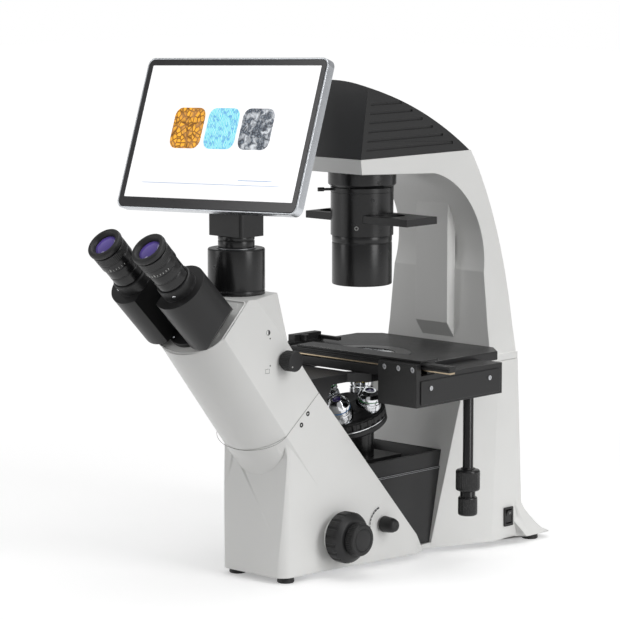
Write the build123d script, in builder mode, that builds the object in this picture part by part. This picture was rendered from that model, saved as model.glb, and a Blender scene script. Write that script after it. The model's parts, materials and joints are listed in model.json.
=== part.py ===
from build123d import *
from math import cos, pi, radians, sin, sqrt
import os

# Inverted microscope with a binocular head, a mechanical stage and a tablet camera.
#
# X runs to the user's right, Y away from the user and Z up, in millimetres. While it is modelled,
# the optical axis of objective and condenser is x = 0, y = 0 and the table is z = 0. At the end
# every piece is moved so that the origin lies on the table under the middle of the instrument.

os.makedirs("parts", exist_ok=True)

# Fits and gaps between separate pieces
RUNNING = 0.05
FREE = 0.3
SEAT = 0.2

# Feet and base casting
FOOT_HEIGHT = 7.0
FOOT_RADIUS = 9.5
FOOT_FRONT = (36.0, -161.0)
FOOT_REAR = (84.0, 196.0)
FLOOR = 6.0
COVER_PLATE = 2.0
BASE_FRONT = 178.0
BASE_FRONT_TOP = 170.0
BASE_FRONT_HEIGHT = 139.0
BASE_WIDE_HALF = 67.0
BASE_WIDE_Y = 18.0
BASE_TAPER_Y = -124.0
BASE_CORNER = 15.0
BASE_WALL = 10.0
VEE_HALF = 57.7
VEE_Y = 51.0
SEAM_Z = 211.0

# Leaning column, as seen along its own axis
COLUMN_LEAN = 51.0
COLUMN_HALF = 50.0
COLUMN_BACK = 32.0
COLUMN_CREASE = 33.0
COLUMN_NOSE = 61.0
COLUMN_SEAM = 236.0
MIRROR_Z = 18.0
LIGHT_BORE = 17.0

# Observation head
HEAD_TOP = 314.0
HEAD_FACE = 545.0
HEAD_REAR = 165.0
HEAD_BACK_Z = 263.0
HEAD_FACET_Y = 220.0
HEAD_REAR_CORNER = 22.0
HEAD_ROOF = 12.0
SELECTOR_Y = -177.0
SELECTOR_Z = 245.0
SELECTOR_R = 11.0
SELECTOR_OUT = 17.0
SELECTOR_TRAVEL = 8.0

# Rear body, tail and arch
REAR_FACET_X = 87.1
REAR_FACET_Y = 124.6
REAR_FACE = 178.0
REAR_TOP_HALF = 75.0
REAR_TOP_Y = 94.0
REAR_TOP_FACET = (81.0, 142.0)
TAIL_HALF = 98.0
TAIL_TOP_HALF = 84.8
TAIL_REAR = 220.0
TAIL_TOP = 64.0
TAIL_CORNER = 10.0
ARCH_SHELF = 7.5
ARCH_WALL_Y = 130.0
ARCH_HEAD_HALF = 52.0
ARCH_FOOT_HALF = 79.0
ARCH_BAND_Z = 434.0
ARCH_TOP = 450.0
ARCH_FRONT = 59.4
ARCH_EDGE = (54.7, 425.0)
PILLAR_HALF = 23.6
PILLAR_Y = 118.0

# Lamp cover
COVER_PEAK = 534.0
COVER_NOSE_Y = 47.0
COVER_BACK_Y = 124.4
COVER_CROWN_R = 211.0
RIB_COUNT = 6
RIB_GROOVE = 2.6
RIB_DEPTH = 1.6
RIB_PITCH = 9.8
RIB_FIRST = 459.0
LAMP_LENS_R = 23.7

# Condenser, round the optical axis
CONDENSER_R = 34.8
CONDENSER_TUBE_R = 33.3
CONDENSER_BORE = 22.0
CONDENSER_NECK = 26.0
CONDENSER_FOOT = 306.0
CONDENSER_STEP = 361.0
CONDENSER_RING = 409.0
APERTURE_RING = 5.4
PHASE_Z = 377.0
PHASE_HEIGHT = 8.0
PHASE_WIDTH = 50.0
PHASE_LEFT = 62.0
PHASE_RIGHT = 88.0

# Stage
STAGE_TOP = 229.0
STAGE_THICK = 10.0
STAGE_HALF = 105.9
STAGE_REAR = 129.0
STAGE_FRONT = 61.6
STAGE_CORNER = 22.0
INSERT_R = 55.0
INSERT_HOLE_R = 34.0
INSERT_LIP = 3.0
SUPPORT_HALF = 48.0
SUPPORT_WIDE = 66.0
SUPPORT_THICK = 9.8

# Mechanical stage
CARRIAGE_FRONT = 70.0
CARRIAGE_PLATE = 7.5
CARRIAGE_LEFT = 87.0
CARRIAGE_RIGHT = 142.0
CARRIAGE_REAR = 73.0
CARRIAGE_BOTTOM = 190.3
CARRIAGE_TOP = 224.3
CARRIAGE_PLATE_TOP = 237.0
CARRIAGE_WALL = 3.0
BAR_TOP = 240.6
BAR_THICK = 2.4
BAR_LEFT = 41.0
BAR_DEPTH = 27.5
SLIDE_WIDTH = 12.0
SLIDE_HEIGHT = 6.4
SLIDE_LEFT = 51.0
SLIDE_RIGHT = 180.7
RACK_HEIGHT = 1.8
DRIVE_X = 124.0
DRIVE_Y = 37.5
DRIVE_ROD_R = 5.8
DRIVE_CORE_R = 3.0
Y_KNOB_R = 13.4
Y_KNOB_Z = (84.0, 108.0)
X_KNOB_R = 10.7
X_KNOB_Z = (56.0, 77.0)

# Nosepiece and its focus slide
TURRET_TILT = 16.0
TURRET_SEAT_R = 30.0
TURRET_SEAT_Z = 178.0
TURRET_R = 45.0
TURRET_PLACES = 5
TURRET_FOOT = 15.0
FOCUS_TUBE_R = 14.0
FOCUS_TUBE_FOOT = 52.0
FOCUS_DOWN = 2.0
FOCUS_UP = 7.0
FOCUS_Y = -98.0
FOCUS_Z = 44.0
PINION_R = 6.0
PINION_TEETH = 12
ARM_Z = (70.0, 82.0)
FORK_IN = 19.5
FORK_OUT = 26.0

# Focus and light knobs
BOSS_R = 22.0
BOSS_FOOT = 53.6
BOSS_THICK = 4.4
COARSE_R = 28.0
COARSE_IN = 59.0
COARSE_OUT = 80.0
FINE_R = 17.5
FINE_OUT = 92.0
SLEEVE_R = 6.0
SHAFT_R = 3.0
LIGHT_KNOB_Y = -32.0
LIGHT_KNOB_Z = 48.0
LIGHT_KNOB_R = 9.0
LIGHT_KNOB_LONG = 18.0

# Eyepieces and their tube housings
EYE_HALF = 32.5
EYE_ARM = 37.5
EYE_FACE_Y = -360.5
EYE_FACE_Z = 379.5
HOUSING_R = 29.4
HOUSING_FLAT = 16.5
HOUSING_TOP = 74.0
HOUSING_FOOT = 6.5
HOUSING_CUT = 9.0
LUG_SPLIT = 26.0
HUB_R = 31.0
HUB_SHIFT = 12.0
HUB_PLATE = 5.5
HUB_SCREW_CIRCLE = 27.3
HUB_SCREWS = 6
HINGE_PIN_R = 6.0
TUBE_R = 15.0
CUP_R = 19.5
EYE_LENS_R = 12.0

# Phototube, camera and tablet
PHOTO_Y = -198.5
PHOTO_R = 30.5
PHOTO_TOP = 363.0
PHOTO_BORE = 14.0
CAMERA_Z = 376.0
CAMERA_NECK_R = 19.6
CAMERA_WIDTH = 50.0
CAMERA_DEPTH = 36.0
CAMERA_TOP = 446.0
TABLET_WIDTH = 262.0
TABLET_HEIGHT = 168.0
TABLET_THICK = 11.0
TABLET_LEAN = 20.4
TABLET_TURN = 2.3
TABLET_Y = -217.0
TABLET_Z = 483.0
TILT_PIN_R = 2.5
TILT_BACK = 8.0
TILT_DROP = 22.0

# Power
SWITCH_Y = 153.0
SWITCH_Z = 32.0
SWITCH_WIDTH = 13.0
SWITCH_HEIGHT = 19.2
ROCKER_PIN_R = 1.2
INLET_Z = 92.0
INLET_WIDTH = 27.0
INLET_HEIGHT = 20.0

# Directions and frames
UP = (Align.CENTER, Align.CENTER, Align.MIN)
HALF_RIGHT = sqrt(0.5)
LEAN_COS = cos(radians(COLUMN_LEAN))
LEAN_SIN = sin(radians(COLUMN_LEAN))
COLUMN = Plane(origin=(0, 0, 0), x_dir=(1, 0, 0), z_dir=(0, -LEAN_COS, LEAN_SIN))
LIGHT_OFFSET = MIRROR_Z * LEAN_COS
EYE_DROP = sqrt(EYE_ARM**2 - EYE_HALF**2)
HINGE_LINE = EYE_FACE_Y + EYE_FACE_Z + EYE_DROP / HALF_RIGHT
HINGE = Plane(
    origin=(0, (HINGE_LINE - HEAD_FACE) / 2, (HINGE_LINE + HEAD_FACE) / 2),
    x_dir=(1, 0, 0),
    z_dir=(0, -HALF_RIGHT, HALF_RIGHT),
)
EYE_HEIGHT = (EYE_FACE_Z - EYE_FACE_Y - HEAD_FACE) * HALF_RIGHT
SIDES = {"left": -1, "right": 1}


def column_point(across, along):
    """Side-view point (y, z) across the column axis, to the back, and along it from the floor."""
    return (across * LEAN_SIN - along * LEAN_COS, across * LEAN_COS + along * LEAN_SIN)


def back_of_column(z, inset=0.0):
    """Y of the column's straight back edge, or of a line inside it, at a height."""
    return (COLUMN_BACK - inset - z * LEAN_COS) / LEAN_SIN


def side(x):
    """Side-view plane at an x, with local axes y and z."""
    return Plane.YZ.offset(x)


def facing(y):
    """Front-view plane at a y, with local axes x and z and its normal towards the user."""
    return Plane.XZ.offset(-y)


def level(z):
    """Plan-view plane at a height."""
    return Plane.XY.offset(z)


def sideways(x, y, z, way=1):
    """Plane at a point whose normal runs along X, to the right or to the left."""
    return Plane(origin=(x, y, z), x_dir=(0, way, 0), z_dir=(way, 0, 0))


def rearward(x, y, z):
    """Plane at a point whose normal runs away from the user."""
    return Plane(origin=(x, y, z), x_dir=(-1, 0, 0), z_dir=(0, 1, 0))


def above(x, y, z):
    """Plane at a point whose normal runs up."""
    return Plane(origin=(x, y, z))


def at_point(plane, x, y, height=0.0):
    """Plane parallel to another one, with its origin at a local point of it."""
    return Plane(origin=plane.from_local_coords((x, y, height)), x_dir=plane.x_dir, z_dir=plane.z_dir)


def rod(at, radius, length, mode=Mode.ADD):
    """Cylinder that starts at a plane and runs along its normal."""
    with Locations(at):
        Cylinder(radius, length, align=UP, mode=mode)


def turn(at, profile, mode=Mode.ADD):
    """Turn a profile of (radius, height) points about a plane's normal."""
    section = Plane(origin=at.origin, x_dir=at.x_dir, z_dir=-at.y_dir)
    with BuildSketch(section, mode=Mode.PRIVATE) as outline:
        with BuildLine():
            Polyline(*profile, close=True)
        make_face()
    revolve(outline.sketch, axis=Axis(at.origin, at.z_dir), mode=mode)


def prism(plane, points, amount, both=False, mode=Mode.ADD):
    """Straight-sided outline pulled along its plane's normal."""
    with BuildSketch(plane, mode=Mode.PRIVATE) as outline:
        with BuildLine():
            Polyline(*points, close=True)
        make_face()
    extrude(outline.sketch, amount=amount, both=both, mode=mode)


def pad(plane, width, height, radius, amount, mode=Mode.ADD):
    """Rounded rectangle round a plane's origin, pulled along its normal."""
    with BuildSketch(plane, mode=Mode.PRIVATE) as outline:
        RectangleRounded(width, height, radius)
    extrude(outline.sketch, amount=amount, mode=mode)


def block(x, y, z, mode=Mode.ADD):
    """Box between two values on each axis."""
    with Locations(((x[0] + x[1]) / 2, (y[0] + y[1]) / 2, z[0])):
        Box(x[1] - x[0], y[1] - y[0], z[1] - z[0], align=UP, mode=mode)


def mirrored(points):
    """Right-hand outline points with their mirror images on the left."""
    return [*points, *[(-x, y) for x, y in reversed(points)]]


def knurl(plane, radius, depth, count, length, mode=Mode.ADD):
    """Toothed cylinder with flat-topped teeth, pulled along its plane's normal."""
    step = 2 * pi / count
    points = []
    for tooth in range(count):
        for share, reach in ((-0.3, radius - depth), (-0.15, radius), (0.15, radius), (0.3, radius - depth)):
            angle = (tooth + share) * step
            points.append((reach * cos(angle), reach * sin(angle)))
    prism(plane, points, length, mode=mode)


def column_body(foot, head, mode=Mode.ADD):
    """Length of the leaning column with its D-shaped section, between two heights along it."""
    with BuildSketch(COLUMN.offset(foot), mode=Mode.PRIVATE) as outline:
        with BuildLine():
            Polyline(
                (COLUMN_HALF, -COLUMN_CREASE),
                (COLUMN_HALF, COLUMN_BACK),
                (-COLUMN_HALF, COLUMN_BACK),
                (-COLUMN_HALF, -COLUMN_CREASE),
            )
            ThreePointArc((-COLUMN_HALF, -COLUMN_CREASE), (0, -COLUMN_NOSE), (COLUMN_HALF, -COLUMN_CREASE))
        make_face()
    extrude(outline.sketch, amount=head - foot, mode=mode)


# Base casting: tower and column foot, floor, rear body and tail
VEE_FLOOR = FOOT_HEIGHT + FLOOR
REAR_SLOPE = (REAR_TOP_Y - VEE_Y) / (SEAM_Z - FOOT_HEIGHT)
TOWER_SIDE = [
    (back_of_column(FOOT_HEIGHT), FOOT_HEIGHT),
    column_point(COLUMN_BACK, COLUMN_SEAM),
    column_point(-COLUMN_CREASE, COLUMN_SEAM),
    (-BASE_FRONT_TOP, BASE_FRONT_HEIGHT),
    (-BASE_FRONT, FOOT_HEIGHT),
]
TOWER_PLAN = mirrored(
    [
        (COLUMN_HALF - 2, -BASE_FRONT),
        (COLUMN_HALF, BASE_TAPER_Y),
        (BASE_WIDE_HALF, BASE_WIDE_Y),
        (VEE_HALF, VEE_Y - 6),
    ]
)
REAR_FOOT_PLAN = mirrored([(REAR_FACET_X, REAR_FACE), (REAR_FACET_X, REAR_FACET_Y), (VEE_HALF, VEE_Y)])
REAR_HEAD_PLAN = mirrored([(REAR_TOP_FACET[0] - 1, REAR_FACE - 2), REAR_TOP_FACET, (REAR_TOP_HALF, REAR_TOP_Y)])
COVER_PLAN = mirrored([(30, -140), (42, -120), (50, 20), (46, 46), (64, 128), (66, 176)])
CAVITY_HALF = COLUMN_HALF - BASE_WALL
CAVITY_TOP = 118.0
CAVITY_BACK = back_of_column(ARM_Z[0], 14)
REAR_CAVITY_Y = (86.0, REAR_FACE - 9)
REAR_CAVITY_TOP = 112.0
LIGHT_PATH = at_point(COLUMN, 0, LIGHT_OFFSET)


def rear_wall(z):
    """Y of the rear body's front wall at a height."""
    return VEE_Y + REAR_SLOPE * (z - FOOT_HEIGHT)


def rear_half(z):
    """Half width of the rear body's flat side at a height."""
    return REAR_FACET_X - (REAR_FACET_X - REAR_TOP_FACET[0]) * (z - FOOT_HEIGHT) / (SEAM_Z - FOOT_HEIGHT)


def half_width(y):
    """Half width of the tower foot at a y behind its parallel front."""
    taper = (BASE_WIDE_HALF - COLUMN_HALF) / (BASE_WIDE_Y - BASE_TAPER_Y)
    return COLUMN_HALF + taper * (y - BASE_TAPER_Y)


with BuildPart() as base_casting:
    prism(side(0), TOWER_SIDE, BASE_WIDE_HALF + 10, both=True)
    with BuildSketch(level(0), mode=Mode.PRIVATE) as tower_plan:
        with BuildLine():
            Polyline(*TOWER_PLAN, close=True)
        make_face()
        fillet(tower_plan.vertices().group_by(Axis.Y)[0], BASE_CORNER)
    extrude(tower_plan.sketch, amount=HEAD_TOP, mode=Mode.INTERSECT)
    column_body(0, COLUMN_SEAM)
    with BuildSketch(level(FOOT_HEIGHT)):
        with BuildLine():
            Polyline(*REAR_FOOT_PLAN, close=True)
        make_face()
    with BuildSketch(level(SEAM_Z)):
        with BuildLine():
            Polyline(*REAR_HEAD_PLAN, close=True)
        make_face()
    loft(ruled=True)
    for share in (0, 0.35, 1):
        flare = (1 - share) ** 2
        half = TAIL_TOP_HALF + (TAIL_HALF - TAIL_TOP_HALF) * flare
        rear = REAR_FACE - 1 + (TAIL_REAR - REAR_FACE + 1) * flare
        with BuildSketch(level(FOOT_HEIGHT + share * (TAIL_TOP - FOOT_HEIGHT))) as tail_plan:
            with BuildLine():
                Polyline(*mirrored([(half, rear), (half, REAR_FACE - 4), (TAIL_TOP_HALF, REAR_FACE - 15)]), close=True)
            make_face()
            fillet(tail_plan.vertices().group_by(Axis.Y)[-1], TAIL_CORNER)
    loft()
    block((-VEE_HALF, VEE_HALF), (-20, VEE_Y + 10), (FOOT_HEIGHT, VEE_FLOOR))
    # The leaning section ends at the casting's flat underside
    block((-120, 120), (-300, 300), (FOOT_HEIGHT - 90, FOOT_HEIGHT), mode=Mode.SUBTRACT)
    # Tower cavity, open below
    prism(
        side(0),
        [
            (-BASE_FRONT + 9, FOOT_HEIGHT),
            (-BASE_FRONT_TOP + 6, CAVITY_TOP),
            (back_of_column(CAVITY_TOP, 14), CAVITY_TOP),
            (CAVITY_BACK, ARM_Z[0]),
            (CAVITY_BACK, FOOT_HEIGHT),
        ],
        CAVITY_HALF,
        both=True,
        mode=Mode.SUBTRACT,
    )
    # Two slots for the forked focus arm through the column's back
    for way in SIDES.values():
        block(
            sorted((way * (FORK_IN - 1), way * (FORK_OUT + 1))),
            (back_of_column(ARM_Z[1] + FOCUS_UP + 4, 14), 0),
            (ARM_Z[0] - FOCUS_DOWN - 1.5, ARM_Z[1] + FOCUS_UP + 1.5),
            mode=Mode.SUBTRACT,
        )
    # Light path: down the optical axis to the mirror's pocket, then up the column
    rod(above(0, 0, MIRROR_Z), FOCUS_TUBE_R + 2, 60, mode=Mode.SUBTRACT)
    rod(LIGHT_PATH.offset(12), LIGHT_BORE, COLUMN_SEAM, mode=Mode.SUBTRACT)
    prism(
        side(0),
        [(-26, FOOT_HEIGHT), (back_of_column(FOOT_HEIGHT, 4), FOOT_HEIGHT), (back_of_column(30, 4), 30), (-26, 44)],
        LIGHT_BORE + 4,
        both=True,
        mode=Mode.SUBTRACT,
    )
    # Rear cavity for the power parts, open below
    block(
        (-CAVITY_HALF - 16, CAVITY_HALF + 16),
        REAR_CAVITY_Y,
        (FOOT_HEIGHT, REAR_CAVITY_TOP),
        mode=Mode.SUBTRACT,
    )
    # Rebate for the bottom cover
    prism(level(FOOT_HEIGHT), COVER_PLAN, COVER_PLATE + 0.3, mode=Mode.SUBTRACT)
    # Holes and flat seats for the focus shaft, and the light control
    rod(sideways(-90, FOCUS_Y, FOCUS_Z), 9.0 + RUNNING, 180, mode=Mode.SUBTRACT)
    for way in SIDES.values():
        rod(sideways(way * BOSS_FOOT, FOCUS_Y, FOCUS_Z, way), BOSS_R + FREE, 20, mode=Mode.SUBTRACT)
    rod(sideways(CAVITY_HALF - 8, LIGHT_KNOB_Y, LIGHT_KNOB_Z), 5.0, 40, mode=Mode.SUBTRACT)
    block(
        (CAVITY_HALF - 20, CAVITY_HALF),
        (CAVITY_BACK - 5, LIGHT_KNOB_Y + 9),
        (LIGHT_KNOB_Z - 10, LIGHT_KNOB_Z + 8),
        mode=Mode.SUBTRACT,
    )
    # Openings for the power switch and the power inlet
    pad(sideways(50, SWITCH_Y, SWITCH_Z), SWITCH_WIDTH, SWITCH_HEIGHT, 1, 50, mode=Mode.SUBTRACT)
    pad(rearward(0, REAR_FACE - 20, INLET_Z), INLET_WIDTH, INLET_HEIGHT, 3, 40, mode=Mode.SUBTRACT)

with BuildPart() as bottom_cover:
    prism(level(FOOT_HEIGHT + SEAT), [(x * 0.994, y * 0.997) for x, y in COVER_PLAN], COVER_PLATE)

with BuildPart() as feet:
    for x, y in (FOOT_FRONT, FOOT_REAR):
        for way in SIDES.values():
            turn(
                above(way * x, y, 0),
                [
                    (2.6, 2.2),
                    (6.0, 0),
                    (FOOT_RADIUS - 1, 0),
                    (FOOT_RADIUS, 1),
                    (FOOT_RADIUS - 0.8, FOOT_HEIGHT),
                    (2.6, FOOT_HEIGHT),
                ],
            )

# Observation head on the slanting seam
HEAD_SIDE = [
    column_point(COLUMN_BACK, COLUMN_SEAM),
    (back_of_column(HEAD_BACK_Z), HEAD_BACK_Z),
    (-HEAD_REAR, HEAD_TOP),
    (HEAD_TOP - HEAD_FACE, HEAD_TOP),
    (HEAD_TOP - HEAD_FACE - 90, HEAD_TOP - 90),
    (-190, 90),
]
SLIDER_LEFT = 20.0
SLIDER_RIGHT = 12.0
SLIDER_ARM = 17.0

with BuildPart() as head_housing:
    column_body(COLUMN_SEAM + FREE, COLUMN_SEAM + 170)
    # Upright rear part behind the leaning section
    prism(
        side(0),
        [
            (back_of_column(HEAD_BACK_Z - 20), HEAD_BACK_Z - 20),
            (-HEAD_REAR + 5, HEAD_BACK_Z),
            (-HEAD_REAR + 5, HEAD_TOP),
            (-HEAD_FACET_Y, HEAD_TOP),
            (-HEAD_FACET_Y, HEAD_BACK_Z - 20),
        ],
        COLUMN_HALF,
        both=True,
    )
    prism(side(0), HEAD_SIDE, COLUMN_HALF + 20, both=True, mode=Mode.INTERSECT)
    # The rear corners are cut back on a slant that starts at the column's back edge
    for way in SIDES.values():
        knee = Vector(way * COLUMN_HALF, back_of_column(HEAD_BACK_Z), HEAD_BACK_Z)
        front = Vector(way * COLUMN_HALF, -HEAD_FACET_Y, HEAD_TOP)
        rear = Vector(way * (COLUMN_HALF - HEAD_REAR_CORNER), -HEAD_REAR, HEAD_TOP)
        facet = Plane(origin=knee, x_dir=front - knee, z_dir=(knee - front).cross(rear - front) * way)
        pad(facet, 300, 300, 1, 60, mode=Mode.SUBTRACT)
    # Light path and prism space
    rod(LIGHT_PATH.offset(COLUMN_SEAM - 5), LIGHT_BORE, 72, mode=Mode.SUBTRACT)
    block(
        (-SLIDER_LEFT - SELECTOR_TRAVEL - 2, SLIDER_ARM + 9),
        (PHOTO_Y - 22, PHOTO_Y + 22),
        (SELECTOR_Z - 14, HEAD_TOP - HEAD_ROOF),
        mode=Mode.SUBTRACT,
    )
    block((-26, SLIDER_ARM + 9), (PHOTO_Y, SELECTOR_Y + 9), (SELECTOR_Z - 7, SELECTOR_Z + 7), mode=Mode.SUBTRACT)
    rod(above(0, PHOTO_Y, HEAD_TOP - HEAD_ROOF - 1), PHOTO_BORE, 20, mode=Mode.SUBTRACT)
    rod(sideways(20, SELECTOR_Y, SELECTOR_Z), 4.0 + RUNNING, 40, mode=Mode.SUBTRACT)
    rod(HINGE.offset(-44), LIGHT_BORE - 6, 50, mode=Mode.SUBTRACT)

# Prism carriage and its knob
with BuildPart() as prism_slider:
    block((-SLIDER_LEFT, SLIDER_RIGHT), (PHOTO_Y - 16, PHOTO_Y + 16), (SELECTOR_Z - 12, SELECTOR_Z + 20))
    block((SLIDER_RIGHT, SLIDER_ARM), (PHOTO_Y - 8, SELECTOR_Y + 5), (SELECTOR_Z - 6, SELECTOR_Z + 6))
    block((-12, 4), (PHOTO_Y - 10, PHOTO_Y + 10), (SELECTOR_Z + 6, SELECTOR_Z + 21), mode=Mode.SUBTRACT)

with BuildPart() as selector_knob:
    rod(sideways(SLIDER_ARM + 0.5, SELECTOR_Y, SELECTOR_Z), 4.0, COLUMN_HALF - 12)
    rod(sideways(COLUMN_HALF + 0.6, SELECTOR_Y, SELECTOR_Z), SELECTOR_R - 1.5, 4)
    knurl(sideways(COLUMN_HALF + 3.6, SELECTOR_Y, SELECTOR_Z), SELECTOR_R, 0.4, 30, SELECTOR_OUT - 4.6)
    rod(sideways(COLUMN_HALF + 3.6, SELECTOR_Y, SELECTOR_Z), SELECTOR_R - 0.6, SELECTOR_OUT - 3.6)

# Trough between column and rear body
TROUGH_TOP = 116.0
TROUGH_LEDGE = 98.0
TROUGH_WALL = 3.0
TROUGH_HALF = VEE_HALF - 2.0


def trough_side(gap, foot, head):
    """Side view of the trough between two heights, kept a gap away from both castings."""
    slant = gap / LEAN_SIN
    return [
        (back_of_column(foot) + slant, foot),
        (rear_wall(foot) - gap, foot),
        (rear_wall(head) - gap, head),
        (back_of_column(head) + slant, head),
    ]


with BuildPart() as trough:
    prism(side(0), trough_side(SEAT, VEE_FLOOR + SEAT, TROUGH_LEDGE), TROUGH_HALF, both=True)
    prism(side(0), trough_side(SEAT, TROUGH_LEDGE, TROUGH_TOP), TROUGH_HALF - 1.4, both=True)
    prism(
        side(0),
        trough_side(SEAT + TROUGH_WALL, VEE_FLOOR + 12, TROUGH_TOP + 1),
        TROUGH_HALF - 1.4 - TROUGH_WALL,
        both=True,
        mode=Mode.SUBTRACT,
    )
    for way in SIDES.values():
        block(
            sorted((way * (FORK_IN - 1), way * (FORK_OUT + 1))),
            (-50, 10),
            (ARM_Z[0] - FOCUS_DOWN - 1.5, ARM_Z[1] + FOCUS_UP + 1.5),
            mode=Mode.SUBTRACT,
        )
    rod(above(0, 0, VEE_FLOOR + 12), FOCUS_TUBE_R + 2, 60, mode=Mode.SUBTRACT)

# Guide block of the focus tube, standing in the trough
GUIDE_HALF = 24.0
GUIDE_FOOT = VEE_FLOOR + 12.1
GUIDE_TOP = TROUGH_TOP - 4
GUIDE_BEARING = ARM_Z[1] + FOCUS_UP + 3
with BuildPart() as focus_guide:
    block((-GUIDE_HALF + 1, GUIDE_HALF - 1), (27, 40), (GUIDE_FOOT, GUIDE_BEARING))
    block((-GUIDE_HALF, GUIDE_HALF), (-24, 40), (GUIDE_BEARING, GUIDE_TOP))
    rod(above(0, 0, GUIDE_BEARING - 1), FOCUS_TUBE_R + RUNNING, 90, mode=Mode.SUBTRACT)

# Focus tube, forked arm round the light path, and rack
RACK_PITCH = 2 * pi * PINION_R / PINION_TEETH
RACK_ROOT = FOCUS_Y + PINION_R + 0.9
RACK_TIP = FOCUS_Y + PINION_R - 0.7
RACK_BACK = RACK_ROOT + 3.0
RACK_TEETH = 10
NOSE_Z = TURRET_SEAT_Z - 34
with BuildPart() as focus_tube:
    rod(above(0, 0, FOCUS_TUBE_FOOT), FOCUS_TUBE_R, NOSE_Z - FOCUS_TUBE_FOOT)
    block((-FORK_OUT, FORK_OUT), (-8, 8), ARM_Z)
    for way in SIDES.values():
        block(sorted((way * FORK_IN, way * FORK_OUT)), (RACK_BACK + 0.1, 8), ARM_Z)
    block((-FORK_OUT, FORK_OUT), (RACK_BACK + 0.1, RACK_BACK + 8), ARM_Z)
    block((-8, 8), (RACK_BACK + 0.1, RACK_BACK + 7), (FOCUS_Z - 20, ARM_Z[1]))
    rod(above(0, 0, FOCUS_TUBE_FOOT - 1), FOCUS_TUBE_R - 3, 200, mode=Mode.SUBTRACT)

with BuildPart() as focus_rack:
    rack_low = FOCUS_Z - RACK_TEETH / 2 * RACK_PITCH
    rack_outline = [(RACK_BACK, rack_low), (RACK_ROOT, rack_low)]
    for tooth in range(RACK_TEETH):
        middle = rack_low + (tooth + 0.5) * RACK_PITCH
        rack_outline += [
            (RACK_ROOT, middle - 1.0),
            (RACK_TIP, middle - 0.5),
            (RACK_TIP, middle + 0.5),
            (RACK_ROOT, middle + 1.0),
        ]
    rack_high = rack_low + RACK_TEETH * RACK_PITCH
    rack_outline += [(RACK_ROOT, rack_high), (RACK_BACK, rack_high)]
    prism(side(0), rack_outline, 5, both=True)

# Nosepiece: fixed base under the turret, turret, objectives
TILT = radians(TURRET_TILT)
TURRET_REACH = TURRET_SEAT_R / sin(TILT)
APEX_Z = TURRET_SEAT_Z - TURRET_REACH
APEX = Vector(0, 0, APEX_Z)
TURRET = Plane(
    origin=(0, -TURRET_REACH * cos(TILT) * sin(TILT), APEX_Z + TURRET_REACH * cos(TILT) ** 2),
    x_dir=(1, 0, 0),
    z_dir=(0, -sin(TILT), cos(TILT)),
)


def objective_axis(place):
    """Plane at a turret place, with its normal along that objective's axis."""
    swing = radians(place * 360 / TURRET_PLACES)
    direction = TURRET.z_dir * cos(TILT) + (TURRET.y_dir * cos(swing) + TURRET.x_dir * sin(swing)) * sin(TILT)
    return Plane(origin=APEX + direction * TURRET_REACH, z_dir=direction)


with BuildPart() as nosepiece_base:
    turn(TURRET, [(0, -26), (28, -26), (TURRET_R - 2, -22), (TURRET_R, -20), (TURRET_R, -15.5), (0, -15.5)])
    rod(at_point(TURRET, 0, 0, -15.5), 6.0, 12)
    rod(above(0, 0, NOSE_Z + 0.1), FOCUS_TUBE_R + 4, 10.5)
    rod(above(0, 0, NOSE_Z - 30), FOCUS_TUBE_R - 3, 70, mode=Mode.SUBTRACT)

with BuildPart() as turret:
    turn(
        TURRET,
        [
            (6.0 + RUNNING, -TURRET_FOOT),
            (TURRET_R - 1.5, -TURRET_FOOT),
            (TURRET_R - 1.5, -4.5),
            (TURRET_R - 5, -2.0),
            (TURRET_R - 9, 4.0),
            (17, 11.0),
            (6.0 + RUNNING, 11.0),
        ],
    )
    knurl(TURRET.offset(-13.5), TURRET_R, 1.4, 30, 8)
    rod(at_point(TURRET, 0, 0, -TURRET_FOOT - 1), 6.0 + RUNNING, 30, mode=Mode.SUBTRACT)
    for place in range(TURRET_PLACES):
        seat = objective_axis(place)
        rod(seat, 14.3, 20, mode=Mode.SUBTRACT)
        rod(seat.offset(-30), 10.0, 31, mode=Mode.SUBTRACT)

ACTIVE_SHAPE = [
    (0, 0),
    (12.3, 0),
    (13.5, 1.2),
    (13.5, 13),
    (12.6, 14),
    (13.5, 15),
    (13.5, 27),
    (11, 32),
    (6.5, 36),
    (0, 36),
]
SIDE_LENGTHS = (22.0, 28.0, 26.0, 31.0)


def objective(place, shape):
    """One objective with its thread in the turret and its light bore."""
    seat = objective_axis(place)
    turn(seat, shape)
    rod(seat.offset(-6), 9.8, 7)
    rod(seat.offset(-7), 4.5, 60, mode=Mode.SUBTRACT)


with BuildPart() as active_objective:
    objective(0, ACTIVE_SHAPE)

side_bodies = []
for place, length in enumerate(SIDE_LENGTHS, start=1):
    with BuildPart() as side_objective:
        objective(
            place,
            [(0, 0), (12.3, 0), (13.0, 1.2), (13.0, length - 8), (10.5, length - 3), (6.0, length), (0, length)],
        )
    side_bodies.append(side_objective.part)
with BuildPart() as side_objectives:
    add(side_bodies)

# Mirror under the optical axis
with BuildPart() as relay_mirror:
    prism(
        side(0),
        [(-15, MIRROR_Z - 5.3), (15, MIRROR_Z + 5.3), (15, FOOT_HEIGHT + COVER_PLATE + 1), (-15, FOOT_HEIGHT + COVER_PLATE + 1)],
        LIGHT_BORE + 3.8,
        both=True,
    )

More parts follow.
